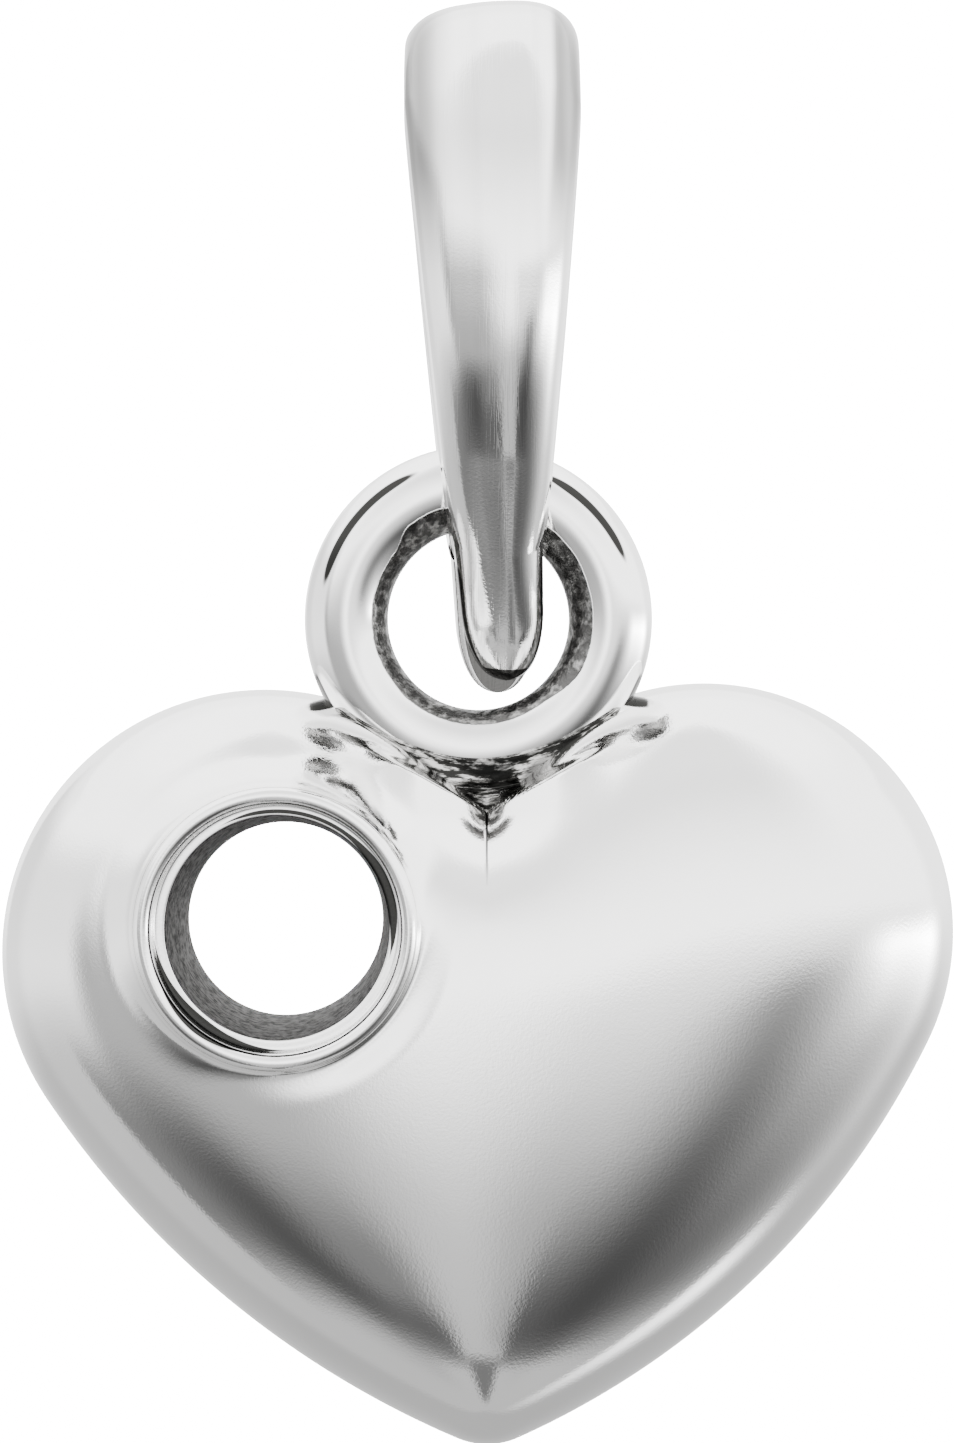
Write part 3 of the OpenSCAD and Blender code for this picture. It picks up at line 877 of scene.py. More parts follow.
@dataclass
class HeartBody:
    """The puffed heart with its seat, one closed shell."""

    hang: Hang
    domes: HeartDomes
    seat: StoneSeat
    front_rows: int = 100
    back_rows: int = 56
    gap: float = 0.05

    def __post_init__(self) -> None:
        """Works out the place of the heart's tip."""
        self.place = self.hang.heart_place(self.domes.notch)

    def _rows(self, rows: int, face: Face) -> np.ndarray:
        """Rows of a dome from near its centre to the rim.

        Formula: a point of row k lies sin(90 deg k / rows) of the way from the centre to the outline, and
        the dome's height in front of or behind the rim's plane.

        Args:
            rows: Number of rows.
            face: Front or back.

        Returns:
            Points of shape (rows, columns, 3).
        """
        share = np.sin(math.pi / 2 * np.arange(1, rows + 1) / rows)[:, None, None]
        xz = self.domes.centre + share * (self.domes.edge - self.domes.centre)
        h = np.zeros(xz.shape[:2])
        h[:-1] = self.domes.height(xz[:-1], face)
        return np.stack([xz[..., 0], face.value * h, xz[..., 1]], axis=-1)

    def _join(
        self, shell: np.ndarray, edges: np.ndarray, ring: np.ndarray, face: Face, first: int
    ) -> np.ndarray:
        """Triangles between the dome's cut edge and the seat's outer ring.

        Formula: a constrained Delaunay triangulation in the (x, z) plane, of which the triangles that lie
        inside the ring are dropped.

        Args:
            shell: The dome's points.
            edges: The cut edge, pairs of indices into them.
            ring: Points of the seat's ring.
            face: Front or back.
            first: Index of the ring's first point in the joined shell.

        Returns:
            Triangles of shape (n, 3), as indices into the joined shell.
        """
        names, inverse = np.unique(edges, return_inverse=True)
        count = len(ring)
        flat = np.concatenate([shell[names][:, [0, 2]], ring[:, [0, 2]]])
        i = np.arange(count)
        chain = np.stack([i, (i + 1) % count], axis=1) + len(names)
        lines = np.concatenate([inverse.reshape(-1, 2), chain])
        made = delaunay_2d_cdt([tuple(p) for p in flat.tolist()], lines.tolist(), [], 1, 1e-7)
        verts, faces, source = made[0], made[2], made[3]
        if len(verts) != len(flat):
            LOG.warning("the joint of the seat has %d points in place of %d", len(verts), len(flat))
        own = np.array([s[0] for s in source])
        tris = own[np.array([f for f in faces if len(f) == 3])]
        tris = tris[(tris < len(names)).any(axis=1)]
        a, b, c = (flat[tris[:, k]] for k in range(3))
        turn = (b[:, 0] - a[:, 0]) * (c[:, 1] - a[:, 1]) - (b[:, 1] - a[:, 1]) * (c[:, 0] - a[:, 0])
        flip = (turn > 0) != (face is Face.FRONT)
        tris[flip] = tris[flip][:, ::-1]
        index = np.concatenate([names, np.arange(count) + first])
        return index[tris]

    def build(self) -> bpy.types.Object:
        """Builds the shell and dresses it.

        Returns:
            The piece heart_body.
        """
        front, back = self._rows(self.front_rows, Face.FRONT), self._rows(self.back_rows, Face.BACK)
        rows = np.concatenate([front, back[-2::-1]])
        count, cols = rows.shape[:2]
        x, z = self.domes.centre
        hubs = np.array([[x, f.value * self.domes.height(self.domes.centre[None], f)[0], z] for f in Face])
        skin = np.concatenate([rows.reshape(-1, 3), hubs])
        quads = grid_quads(count, cols)
        front_hub = count * cols
        back_fan = fan_tris(front_hub + 1, (count - 1) * cols, cols)[:, ::-1]
        fans = np.concatenate([fan_tris(front_hub, 0, cols), back_fan])
        seat, seat_finish, seat_painted_shade = self.seat.surface(self.domes)
        front_reach = self.seat.radius + 2 * self.seat.bead_r + self.seat.flare
        back_reach = self.seat.hole_r + self.seat.back_flare
        radius = np.hypot(skin[:, 0] - self.seat.x, skin[:, 2] - self.seat.z)
        limit = np.where(skin[:, 1] < 0, front_reach, back_reach) + self.gap
        cut = radius < limit
        kept = quads[~cut[quads].any(axis=1)]
        pairs = np.sort(np.concatenate([kept[:, [0, 1]], kept[:, [1, 2]], kept[:, [2, 3]], kept[:, [3, 0]],
                                        fans[:, [0, 1]], fans[:, [1, 2]], fans[:, [2, 0]]]), axis=1)
        lone, times = np.unique(pairs, axis=0, return_counts=True)
        lone = lone[times == 1]
        first = len(skin)
        joins = []
        for face, row in ((Face.FRONT, 0), (Face.BACK, len(seat) - 1)):
            side = lone[np.sign(skin[lone[:, 0], 1]) == face.value]
            joins.append(self._join(skin, side, seat[row], face, first + row * self.seat.cols))
        seat_quads = grid_quads(len(seat), self.seat.cols, first)
        points = np.concatenate([skin, seat.reshape(-1, 3)]) + self.place
        quads = np.concatenate([self._turned(kept, skin), self._seat_turned(seat_quads, seat, first)])
        tris = np.concatenate([self._fans_turned(fans, skin), *joins])
        finish = np.concatenate([np.zeros(len(kept), np.int32), np.repeat(seat_finish, self.seat.cols)])
        used = np.unique(np.concatenate([quads.ravel(), tris.ravel()]))
        index = np.full(len(points), -1)
        index[used] = np.arange(len(used))
        shell = Shell(points[used], index[quads], index[tris], finish, np.zeros(len(tris), np.int32))
        shell.fit_into("heart", "xz")
        # painted shade: the crease's fine line, and the seat's crescents of painted dark reflection
        painted_shade = np.concatenate([self.domes.crease_line(skin), seat_painted_shade.ravel()])[used]
        finishes = [HEART_POLISH.material(), SEAT_CAST_PAINTED_SHADE.material()]
        piece = shell.to_piece("heart_body", finishes, {"painted_shade": painted_shade})
        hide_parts("heart")
        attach(piece, "pendant")
        return piece

    @staticmethod
    def _turned(quads: np.ndarray, skin: np.ndarray) -> np.ndarray:
        """The dome's quads, turned so that the front ones face -Y."""
        a, b, c = (skin[quads[:, k]] for k in (0, 1, 2))
        front = (a[:, 1] + c[:, 1]) < 0
        outward = np.cross(b - a, c - a)[:, 1]
        wrong = np.median(outward[front]) > 0
        return quads[:, ::-1] if wrong else quads

    @staticmethod
    def _seat_turned(quads: np.ndarray, seat: np.ndarray, first: int) -> np.ndarray:
        """The seat's quads, turned so that its first gap faces -Y."""
        flat = seat.reshape(-1, 3)
        a, b, c = (flat[quads[0, k] - first] for k in (0, 1, 2))
        return quads[:, ::-1] if np.cross(b - a, c - a)[1] > 0 else quads

    @staticmethod
    def _fans_turned(fans: np.ndarray, skin: np.ndarray) -> np.ndarray:
        """The fans at the two poles, each turned to face away from the middle."""
        a, b, c = (skin[fans[:, k]] for k in range(3))
        wrong = np.sign(np.cross(b - a, c - a)[:, 1]) != np.sign(a[:, 1])
        fans = fans.copy()
        fans[wrong] = fans[wrong][:, ::-1]
        return fans


@dataclass
class EyeRing:
    """Round wire ring, with a slight flat on the inside that is left as cast, rough and coloured dark as
    painted shade. In mm, in the part's frame.
    Each three numbers are a middle angle round the ring, its half width and its soft edge, in degrees."""

    hang: Hang
    drawn: float = 0.004
    cast_from: float = 0.54
    cast_right: tuple[float, float, float] = (12, 36, 30)
    cast_bail: tuple[float, float, float] = (118, 8, 16)
    # painted reflections: two dark arcs near the outer edge; painted shade: the underside beside the solder
    arc_at: float = 0.6
    arc_w: float = 0.12
    arc_right: tuple[float, float, float] = (43, 10, 26)
    arc_left: tuple[float, float, float] = (140, 14, 30)
    underside: tuple[float, float, float] = (-90, 64, 16)
    turns: int = 320
    steps: int = 128

    def __post_init__(self) -> None:
        """Takes the ring's sizes and place."""
        self.centre, self.mean_r, self.wire_r = self.hang.ring_centre, self.hang.ring_mean_r, self.hang.wire_r
        self.hole_r = self.mean_r - self.wire_r + self.hang.wire_flat

    def wire(self, angle: np.ndarray, tilt: np.ndarray, swell: float = 0.0) -> np.ndarray:
        """Points on the wire.

        Formula: at angle a round the ring and tilt b round the wire, the distance from the ring's axis is
        mean_r + (wire_r + swell) cos b, held to the hole's radius, and the depth is -(wire_r + swell) sin b.

        Args:
            angle: Angle round the ring, 0 at +X.
            tilt: Angle round the wire, 0 outwards and a quarter turn at the front.
            swell: Amount added to the wire's radius.

        Returns:
            Points with 3 in the last axis.
        """
        r = np.maximum(self.mean_r + (self.wire_r + swell) * np.cos(tilt), self.hole_r)
        y = -(self.wire_r + swell) * np.sin(tilt)
        local = np.stack(np.broadcast_arrays(r * np.cos(angle), y, r * np.sin(angle)), axis=-1)
        return local + self.centre

    @staticmethod
    def _hump(angle: np.ndarray, middle: float, half: float, soft: float) -> np.ndarray:
        """1 within half degrees of a middle angle in degrees, falling to 0 over soft degrees more."""
        off = np.abs((np.degrees(angle) - middle + 180) % 360 - 180)
        return 1 - smooth((off - half) / soft)

    def _cast_edge(self, angle: np.ndarray) -> np.ndarray:
        """Where the as-cast inside, rough and coloured dark as painted shade, begins, as minus the tilt's
        cosine: wider right and beside the bail.
        """
        wider = 0.2 * self._hump(angle, *self.cast_right) + 0.22 * self._hump(angle, *self.cast_bail)
        return self.cast_from - wider

    def _painted_shade(self, angle: np.ndarray, tilt: np.ndarray) -> np.ndarray:
        """Painted dark parts of the ring: two fine arcs near the outer edge as painted reflections, and the
        underside beside the solder as painted shade.

        Formula: an arc is a bell in the cosine of the tilt times a window round the ring; the underside is
        a window in both angles.

        Args:
            angle: Angle round the ring.
            tilt: Angle round the wire.

        Returns:
            Painted shade from 0 to 1.
        """
        bell = np.exp(-((np.cos(tilt) - self.arc_at) / self.arc_w) ** 2) * (np.sin(tilt) > 0)
        right, left = self._hump(angle, *self.arc_right), self._hump(angle, *self.arc_left)
        lean = (np.degrees(tilt) + 180) % 360 - 180
        under = rising(lean, -80, -60) * (1 - rising(lean, 22, 36)) * self._hump(angle, *self.underside)
        return np.maximum(bell * np.maximum(right, 0.9 * left), under)

    def build(self) -> bpy.types.Object:
        """Builds the ring and dresses it.

        Returns:
            The piece ring_wire.
        """
        angle = (2 * math.pi * np.arange(self.turns) / self.turns)[:, None]
        tilt = (2 * math.pi * np.arange(self.steps) / self.steps)[None, :]
        around = np.stack(np.broadcast_arrays(np.cos(angle), np.sin(angle), 1.6 * tilt / math.pi), axis=-1)
        closing = np.sin(tilt / 2) ** 0.5
        uneven = ripples(around * [1, 1, 4], wave_set(23, 12, 1, 4))
        points = self.wire(angle, tilt, self.drawn * closing * uneven)
        # the as-cast inside: rough, with a dark colour that is painted shade
        inner = smooth((-np.cos(tilt) - self._cast_edge(angle)) / 0.12)
        # painted reflections on two arcs and painted shade on the underside
        painted_shade = self._painted_shade(angle, tilt) * (0.88 + 0.12 * ripples(around, wave_set(31, 8, 2, 7)))
        quads = grid_quads(self.turns, self.steps, wrap_rows=True)
        shell = Shell.of_quads(points.reshape(-1, 3), quads)
        shell.fit_into("eye_ring", "xyz")
        attributes = {"inner": inner.ravel(), "painted_shade": painted_shade.ravel()}
        piece = shell.to_piece("ring_wire", [RING_POLISH.material()], attributes)
        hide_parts("eye_ring")
        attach(piece, "pendant")
        return piece


@dataclass
class SolderSeam:
    """Saddle of solder that joins the ring to the heart's notch, with two straight arms beside the ring."""

    ring: EyeRing
    domes: HeartDomes
    heart_place: np.ndarray
    spread: float = math.radians(60)
    arm_r: float = 1.77
    arm_turn: float = math.radians(27)
    front_tilt: float = math.radians(80)
    tilt_fall: float = math.radians(42)
    back_tilt: float = math.radians(-52)
    sink: float = 0.03
    film_t: tuple[float, float] = (0.01, 0.035)
    film_turn: float = 0.55
    hollow: float = 0.04
    lump: float = 0.022
    end_from: float = 0.93
    end_w: float = 0.055
    end_lump: float = 0.05
    cols: int = 220
    rows: int = 40

    def _edge(self, phi: np.ndarray, face: Face) -> np.ndarray:
        """Line where the saddle runs out on a dome.

        Formula: at angle phi from straight down the line is arm_r / cos(|phi| - arm_turn) from the ring's
        axis, two straight arms that meet over the notch, on the dome's height and sunk a little into it.

        Args:
            phi: Angles from straight down.
            face: Front or back dome.

        Returns:
            Points of shape (n, 3) in the part's frame.
        """
        reach = self.arm_r / np.cos(np.abs(phi) - self.arm_turn) - (0 if face is Face.FRONT else 0.03)
        x = self.ring.centre[0] + reach * np.sin(phi)
        z = self.ring.centre[2] - reach * np.cos(phi)
        local = np.stack([x - self.heart_place[0], z - self.heart_place[2]], axis=-1)
        low = self.domes.notch[1] - 0.03 + np.abs(local[:, 0]) * 0.2
        local[:, 1] = np.minimum(local[:, 1], np.where(np.abs(local[:, 0]) < 0.15, low, 99))
        h = self.domes.height(local, face) - self.sink
        return np.stack([local[:, 0], face.value * h, local[:, 1]], axis=-1) + self.heart_place

    def build(self) -> bpy.types.Object:
        """Builds the saddle and dresses it.

        Formula: each section is a closed loop. On the front it follows the wire as a film and leaves it in
        a slightly hollow curve to the dome, and on the back it is one hollow curve. The loop shrinks to a
        point at both ends, and waves drawn out along the seam make its lumps.

        Returns:
            The piece solder_seam.
        """
        u = np.linspace(-1, 1, self.cols)
        phi = self.spread * u
        angle = phi - math.pi / 2
        back_a = self.ring.wire(angle, np.full_like(phi, self.back_tilt), -self.sink)
        front_b, back_b = self._edge(phi, Face.FRONT), self._edge(phi, Face.BACK)
        hollow_back = self.ring.wire(angle, np.full_like(phi, math.radians(-20)), 0.03)
        half = np.linspace(0, 1, self.rows // 2)[:, None]
        start = self.front_tilt - self.tilt_fall * np.abs(u) ** 3
        film = self.ring.wire(angle, start * (1 - self.film_turn * half), blend(*self.film_t, half))
        s = half[1:, :, None]
        bend = 0.5 * (film[-1] + front_b) + np.array([0.0, self.hollow, 0.0])
        fillet = (1 - s) ** 2 * film[-1] + 2 * s * (1 - s) * bend + s ** 2 * front_b
        front = np.concatenate([film, fillet])
        t = np.linspace(0, 1, len(front))[:, None, None]
        hollow = 0.5 * hollow_back + 0.25 * (back_a + back_b)
        back = (1 - t) ** 2 * back_b + 2 * t * (1 - t) * hollow + t ** 2 * back_a
        loop = np.concatenate([front, back])
        v = np.concatenate([t, 1 + t])[:, 0]
        place = np.stack(np.broadcast_arrays(u, v, 0 * v), axis=-1)
        lumps = ripples(place * [1.9, 0.9, 0.0], wave_set(11, 14, 4, 11))
        streak = ripples(place * [0.7, 1.6, 0.0], wave_set(5, 10, 5, 14))
        grow = np.sin(np.pi * np.concatenate([t, t])[:, 0]).clip(0, 1) ** 0.7
        middle = loop.mean(axis=0, keepdims=True)
        out = loop - middle
        out /= np.linalg.norm(out, axis=-1, keepdims=True)
        loop = loop + out * ((lumps + 0.6 * streak) * self.lump * grow)[..., None]
        past = np.abs(u) - self.end_from
        ends = np.exp(-(past / self.end_w) ** 2)[None, :, None]
        loop = loop + out * ends * self.end_lump * grow[..., None]
        close = np.sqrt(1 - np.clip(past / (1 - self.end_from), 0, 1) ** 2)[None, :, None]
        loop = middle + (loop - middle) * close
        count = loop.shape[0]
        quads = grid_quads(count, self.cols, wrap_cols=False, wrap_rows=True)
        shell = Shell.of_quads(loop.reshape(-1, 3), quads)
        attributes = {"across": np.repeat(1.2 * v, self.cols), "along": np.tile(0.75 * u, count)}
        piece = shell.to_piece("solder_seam", [SOLDER_FLOW.material()], attributes, weld=WELD)
        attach(piece, "pendant")
        return piece


@dataclass
class Bail:
    """Tapered strip, folded over the chain's seat and pressed to two layers in the ring's eye. In mm."""

    hang: Hang
    width: float = 1.79
    tail_w: float = 0.78
    depth: float = 4.12
    bend_r: float = 1.6
    belly_r: float = 3.7
    seat_r: float = 1.2
    leg_r: float = 3.9
    top_t: float = 0.62
    tail_t: float = 0.17
    tail_lean: float = 0.15
    back_lean: float = 0.4
    crown_inset: float = 0.11
    crown_share: float = 0.4
    top_power: float = 2.3
    tail_power: float = 1.9
    tail_bulge: float = 0.03
    tail_end_power: float = 0.75
    tail_rim: float = 0.07
    swell: float = 0.04
    swell_z: float = -3.25
    swell_reach: float = 0.85
    columns: float = 0.1
    # painted shade on the strip's sides and inside
    painted_shade_right: float = 0.72
    painted_shade_left: float = 0.78
    painted_shade_inside: float = 0.5
    painted_shade_z: tuple[float, float] = (-2.6, -1.0)
    columns_z: tuple[float, float] = (-4.2, -2.7)
    crest: float = 0.28
    width_power: float = 0.85
    wide_drop: float = 0.4
    tail_blunt: float = 0.85
    tail_round_share: float = 0.48
    seam: float = 0.005
    corner: float = 0.06
    crotch: float = 0.05
    crown_cols: int = 56
    end_rows: int = 20
    tail_rows: int = 14
    crotch_rows: int = 7
    leg_rows: int = 150
    fine: int = 600

    def __post_init__(self) -> None:
        """Takes the sizes that the ring shares, and works out the circles of the opening and of the outside."""
        self.neck_w, self.lean = self.hang.bail_neck_w, self.hang.bail_lean
        self.opening_len, self.cradle_r = self.hang.opening_len, self.hang.cradle_r
        self.tail_end, self.tail_step = self.hang.tail_end, self.hang.tail_step
        self.top = np.array([0.0, -self.seat_r])
        self.low = np.array([0.0, self.cradle_r - self.opening_len])
        self.leg = meet(self.top, self.leg_r - self.seat_r, self.low, self.leg_r - self.cradle_r, -1)
        self.leg_top, self.leg_low = bearing(self.leg, self.top), bearing(self.leg, self.low)
        half = self.depth / 2
        self.bend = np.array([0.0, self.top_t - self.bend_r])
        room = (self.belly_r - self.bend_r) ** 2 - (self.belly_r - half) ** 2
        self.belly = np.array([half - self.belly_r, self.bend[1] - math.sqrt(max(0.0, room))])
        self.bend_a = bearing(self.belly, self.bend)
        tip = np.array([self.tail_t, self.tail_end])
        reach = float(np.linalg.norm(self.belly - tip))
        self.tail_a = bearing(tip, self.belly) - math.asin(self.belly_r / reach) - math.pi / 2
        self.belly_low = self.belly[1] + self.belly_r * math.sin(self.tail_a)

    def _tail_depth(self, z: np.ndarray) -> np.ndarray:
        """Depth of the tail's face at a height: the belly's tangent and a bulge s (1 - s)^2 near the end."""
        s = np.clip((z - self.tail_end) / (self.belly_low - self.tail_end), 0, 1)
        bulge = self.tail_bulge * s * (1 - s) ** 2 * 27 / 4
        return self.tail_t - (z - self.tail_end) * math.tan(self.tail_a) + bulge

    def _outer_curve(self) -> np.ndarray:
        """The outside from the opening's lower end to the top, as depth, height and the normal's angle.

        Formula: the tail's straight face, the belly's arc and the bend, with a slight swell of the belly's
        lower part that follows the square of a cosine.
        """
        fine = self.fine
        z = np.linspace(-self.opening_len, self.belly_low, fine)[:-1]
        straight = np.stack([self._tail_depth(z), z, np.full_like(z, self.tail_a)], axis=1)
        a = np.linspace(self.tail_a, self.bend_a, fine)[:-1, None]
        out = np.concatenate([np.cos(a), np.sin(a)], axis=1)
        belly = np.concatenate([self.belly + self.belly_r * out, a], axis=1)
        b = np.linspace(self.bend_a, math.pi / 2, fine)[:, None]
        out = np.concatenate([np.cos(b), np.sin(b)], axis=1)
        bend = np.concatenate([self.bend + self.bend_r * out, b], axis=1)
        curve = np.concatenate([straight, belly, bend])
        off = np.clip((curve[:, 1] - self.swell_z) / self.swell_reach, -1, 1)
        curve[:, 0] += self.swell * np.cos(math.pi / 2 * off) ** 2
        return curve

    def _inner_curve(self, start: float) -> np.ndarray:
        """The opening from the angle start on its lower circle to its top, as depth and height."""
        fine = self.fine
        low = arc(self.low, self.cradle_r, start, self.leg_low, fine)
        leg = arc(self.leg, self.leg_r, self.leg_low, self.leg_top, fine)
        top = arc(self.top, self.seat_r, self.leg_top, math.pi / 2, fine)
        return np.concatenate([low, leg, top, [[0.0, 0.0]]])

    def _stations(self) -> tuple[np.ndarray, np.ndarray, np.ndarray, np.ndarray]:
        """Stations of half the strip from the tail's end to the top.

        Formula: the outside runs along the tail's straight face, the belly's arc and the bend over the top;
        the inside runs along the seam, round a small corner, up the opening's lower circle, its bulged side
        and its upper circle. Above the corner both are stepped evenly by their own lengths.

        Returns:
            Outside points, inside points, both (n, 2) as depth and height, the outside normal's angle, and
            the share of the width.
        """
        tail_round = (-self.opening_len - self.tail_end) * self.tail_round_share
        q = np.linspace(0, math.pi / 2, self.end_rows)
        z = self.tail_end + tail_round * (1 - np.cos(q))
        end = np.stack([self._tail_depth(z) * (self.tail_blunt + (1 - self.tail_blunt) * np.sin(q)), z], 1)
        low_z = -self.opening_len - self.crotch
        z = np.linspace(z[-1], low_z, self.tail_rows)[1:]
        tail = np.stack([self._tail_depth(z), z], 1)
        inner_tail = np.stack([np.full(len(end) + len(tail), self.seam), np.concatenate([end[:, 1], z])], 1)
        turn = math.asin((self.seam + self.crotch) / self.cradle_r)
        low_point = self.low + self.cradle_r * np.array([math.sin(turn), -math.cos(turn)])
        t = np.linspace(0, 1, self.crotch_rows)[1:, None]
        knee = np.array([self.seam, low_point[1]])
        inner_corner = (1 - t) ** 2 * inner_tail[-1] + 2 * t * (1 - t) * knee + t ** 2 * low_point
        z = (low_z + self.crotch * t)[:, 0]
        outer_corner = np.stack([self._tail_depth(z), z], 1)
        inner = resample(self._inner_curve(turn - math.pi / 2), self.leg_rows)
        outer = resample(self._outer_curve(), self.leg_rows)
        outside = np.concatenate([end, tail, outer_corner, outer[:, :2]])
        inside = np.concatenate([inner_tail, inner_corner, inner])
        below = len(outside) - self.leg_rows
        angle = np.concatenate([np.full(below, self.tail_a), outer[:, 2]])
        share = np.concatenate([np.sin(q) ** self.tail_end_power, np.ones(len(outside) - len(q))])
        return outside, inside, angle, share

    def _edge_dip(self, outside: np.ndarray) -> np.ndarray:
        """How far the crowned face drops at its side edges.

        Formula: above the cradle it is the strip's thickness less crown_inset. Below it blends softly into
        crown_share of the depth, by the logarithm of the sum of the exponentials of both.

        Args:
            outside: Points of the outside, as depth and height.

        Returns:
            The drop at each point.
        """
        a = np.arctan2(outside[:, 1] - self.leg[1], outside[:, 0] - self.leg[0])
        near = [np.linalg.norm(outside - c, axis=1) - r for c, r in
                ((self.top, self.seat_r), (self.low, self.cradle_r), (self.leg, self.leg_r))]
        strip = np.where(a > self.leg_top, near[0], np.where(a < self.leg_low, near[1], near[2]))
        thick = strip - self.crown_inset
        hard = 24.0
        tail = -np.log(np.exp(-hard * thick) + np.exp(-hard * outside[:, 0] * self.crown_share)) / hard
        return blend(thick, tail, (self.low[1] + 0.35 - outside[:, 1]) / 0.5)

    def _rim(
        self, across: np.ndarray, z: np.ndarray, tail: np.ndarray, walls: int, flats: int
    ) -> np.ndarray:
        """Painted shade on the tail: the sides and the end of its face, and its flat inside.

        Args:
            across: Place across the face from -1 to 1, one row for each station.
            z: Height of each station.
            tail: Share of the tail's length at each station.
            walls: Points on each rounded side.
            flats: Points on the flat inside.

        Returns:
            Painted shade of shape (stations, points).
        """
        sides = rising(np.abs(across), 0.84, 0.96)
        end = 1 - rising(z - self.tail_end, self.tail_rim, 2 * self.tail_rim)[:, None]
        bare, dark = np.zeros((len(z), walls)), np.ones((len(z), flats))
        rim = np.concatenate([np.maximum(sides, end), bare, dark, bare], axis=1)
        return rim * smooth(tail / 0.35)[:, None]

    def _painted_strip_shade(self, across: np.ndarray, x: np.ndarray, z: np.ndarray) -> np.ndarray:
        """Painted shade that darkens the strip's two sides and its inside, with fine darker columns along it.

        Formula: smooth steps across the face, times a smooth step in height, plus the upper half of waves
        that change with x alone.

        Args:
            across: Place across the face from -1 to 1, one row for each station.
            x: Place of every point across the strip in mm.
            z: Height of each station.

        Returns:
            Painted shade from 0 to 1, of shape (stations, points).
        """
        right = self.painted_shade_right * rising(across, 0.5, 0.64)
        left = self.painted_shade_left * rising(-across, 0.5, 0.9)
        inside = np.full((len(z), x.shape[1] - across.shape[1]), self.painted_shade_inside)
        film = np.concatenate([np.maximum(right, left), inside], axis=1) * rising(z, *self.painted_shade_z)[:, None]
        drawn = ripples(x[..., None] * [1.0, 0.0, 0.0], wave_set(17, 16, 18, 75)) * self.columns
        return np.clip(film + np.clip(drawn, 0, 1) * rising(z, *self.columns_z)[:, None], 0, 1)

    def build(self) -> bpy.types.Object:
        """Builds the strip and dresses it.

        Formula: across the face at angle a, x is the half width times cos(a)^(2/power) and the surface dips
        by edge (1 - sin(a)^(2/power)) along its normal; a rounded corner leads to the flat inside. The half
        width blends from the neck to the top with the height to the power width_power, and narrows again
        along the tail.

        Returns:
            The piece bail_strip.
        """
        outside, inside, angle, share = self._stations()
        z = outside[:, 1]
        tail = np.clip((-self.opening_len - z) / (-self.opening_len - self.tail_end), 0, 1)
        rise = np.clip((z + self.opening_len) / (self.opening_len - self.wide_drop), 0, 1)
        upper = blend(self.neck_w, self.width, rise ** self.width_power) / 2
        half = (upper - tail * (self.neck_w - self.tail_w) / 2) * share
        edge = self._edge_dip(outside)
        power = (2 / blend(self.tail_power, self.top_power, rise))[:, None]
        a = np.pi * (1 - np.arange(self.crown_cols + 1) / self.crown_cols)[None]
        across = signed_power(np.cos(a), power)
        dip = edge[:, None] * (1 - signed_power(np.sin(np.clip(a, 1e-12, np.pi - 1e-12)), power))
        out = np.stack([np.cos(angle), np.sin(angle)], 1)
        crown = outside[:, None] - dip[..., None] * out[:, None]
        corner = np.minimum(self.corner, half / 2)
        t = np.linspace(0, 1, 7)[1:, None]
        pe, pk = crown[:, -1], inside
        wall = (1 - t) ** 2 * pe[:, None] + 2 * t * (1 - t) * pk[:, None] + t ** 2 * pk[:, None]
        wall_x = half[:, None] - corner[:, None] * (t[:, 0] ** 2)[None]
        flat_x = np.linspace(1, -1, 12)[1:-1] * (half - corner)[:, None]
        flat = np.repeat(inside[:, None], flat_x.shape[1], axis=1)
        side = np.concatenate([wall_x, flat_x, -wall_x[:, ::-1]], axis=1)
        skewed = self.crest + across * (1 - np.sign(across) * self.crest)
        front_x = np.concatenate([half[:, None] * skewed, side], axis=1)
        back_x = np.concatenate([half[:, None] * across, side], axis=1)
        dz = np.concatenate([crown, wall, flat, wall[:, ::-1]], axis=1)
        lean = self.lean * np.clip(-z / self.opening_len, 0, 1) + (self.tail_lean - self.lean) * tail
        front = np.stack([front_x + lean[:, None], -dz[..., 0], dz[..., 1]], axis=-1)
        back_z = dz[..., 1] - (self.tail_step * tail)[:, None]
        back = np.stack([back_x + self.back_lean * lean[:, None], dz[..., 0], back_z], axis=-1)
        strip = np.concatenate([front, back[-2::-1]])
        # painted shade on the tail's sides, end and flat inside
        painted_shade = there_and_back(self._rim(across, z, tail, wall_x.shape[1], flat_x.shape[1]))
        # painted shade on the strip's sides and inside, with fine darker columns
        film = there_and_back(self._painted_strip_shade(across, front_x, z))
        run = np.cumsum(np.linalg.norm(np.diff(strip[:, self.crown_cols // 2], axis=0), axis=1))
        along = np.repeat(np.concatenate([[0.0], run]), strip.shape[1])
        shell = Shell.of_quads(strip.reshape(-1, 3), grid_quads(len(strip), strip.shape[1]))
        shell.fit_into("bail", "xyz")
        attributes = {"across": shell.points[:, 0], "along": along,
                      "painted_shade": painted_shade.ravel(), "film": film.ravel()}
        piece = shell.to_piece("bail_strip", [BAIL_POLISH.material()], attributes, weld=WELD)
        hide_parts("bail")
        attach(piece, "hanger")
        return piece


@dataclass(frozen=True)
class LightPatch:
    """A soft-edged patch of the studio round the pendant.

    Directions are in degrees of azimuth, 0 at the camera and + to the right, and of elevation. Each pair of
    numbers is where the patch fades in and where it is full, or where it starts to fade and where it ends. A
    side without a pair is open. stops is the natural logarithm of the light that it adds or takes.
    """

    name: str
    stops: float
    left: tuple[float, float] | None = None
    right: tuple[float, float] | None = None
    low: tuple[float, float] | None = None
    high: tuple[float, float] | None = None
    mirrored: bool = False


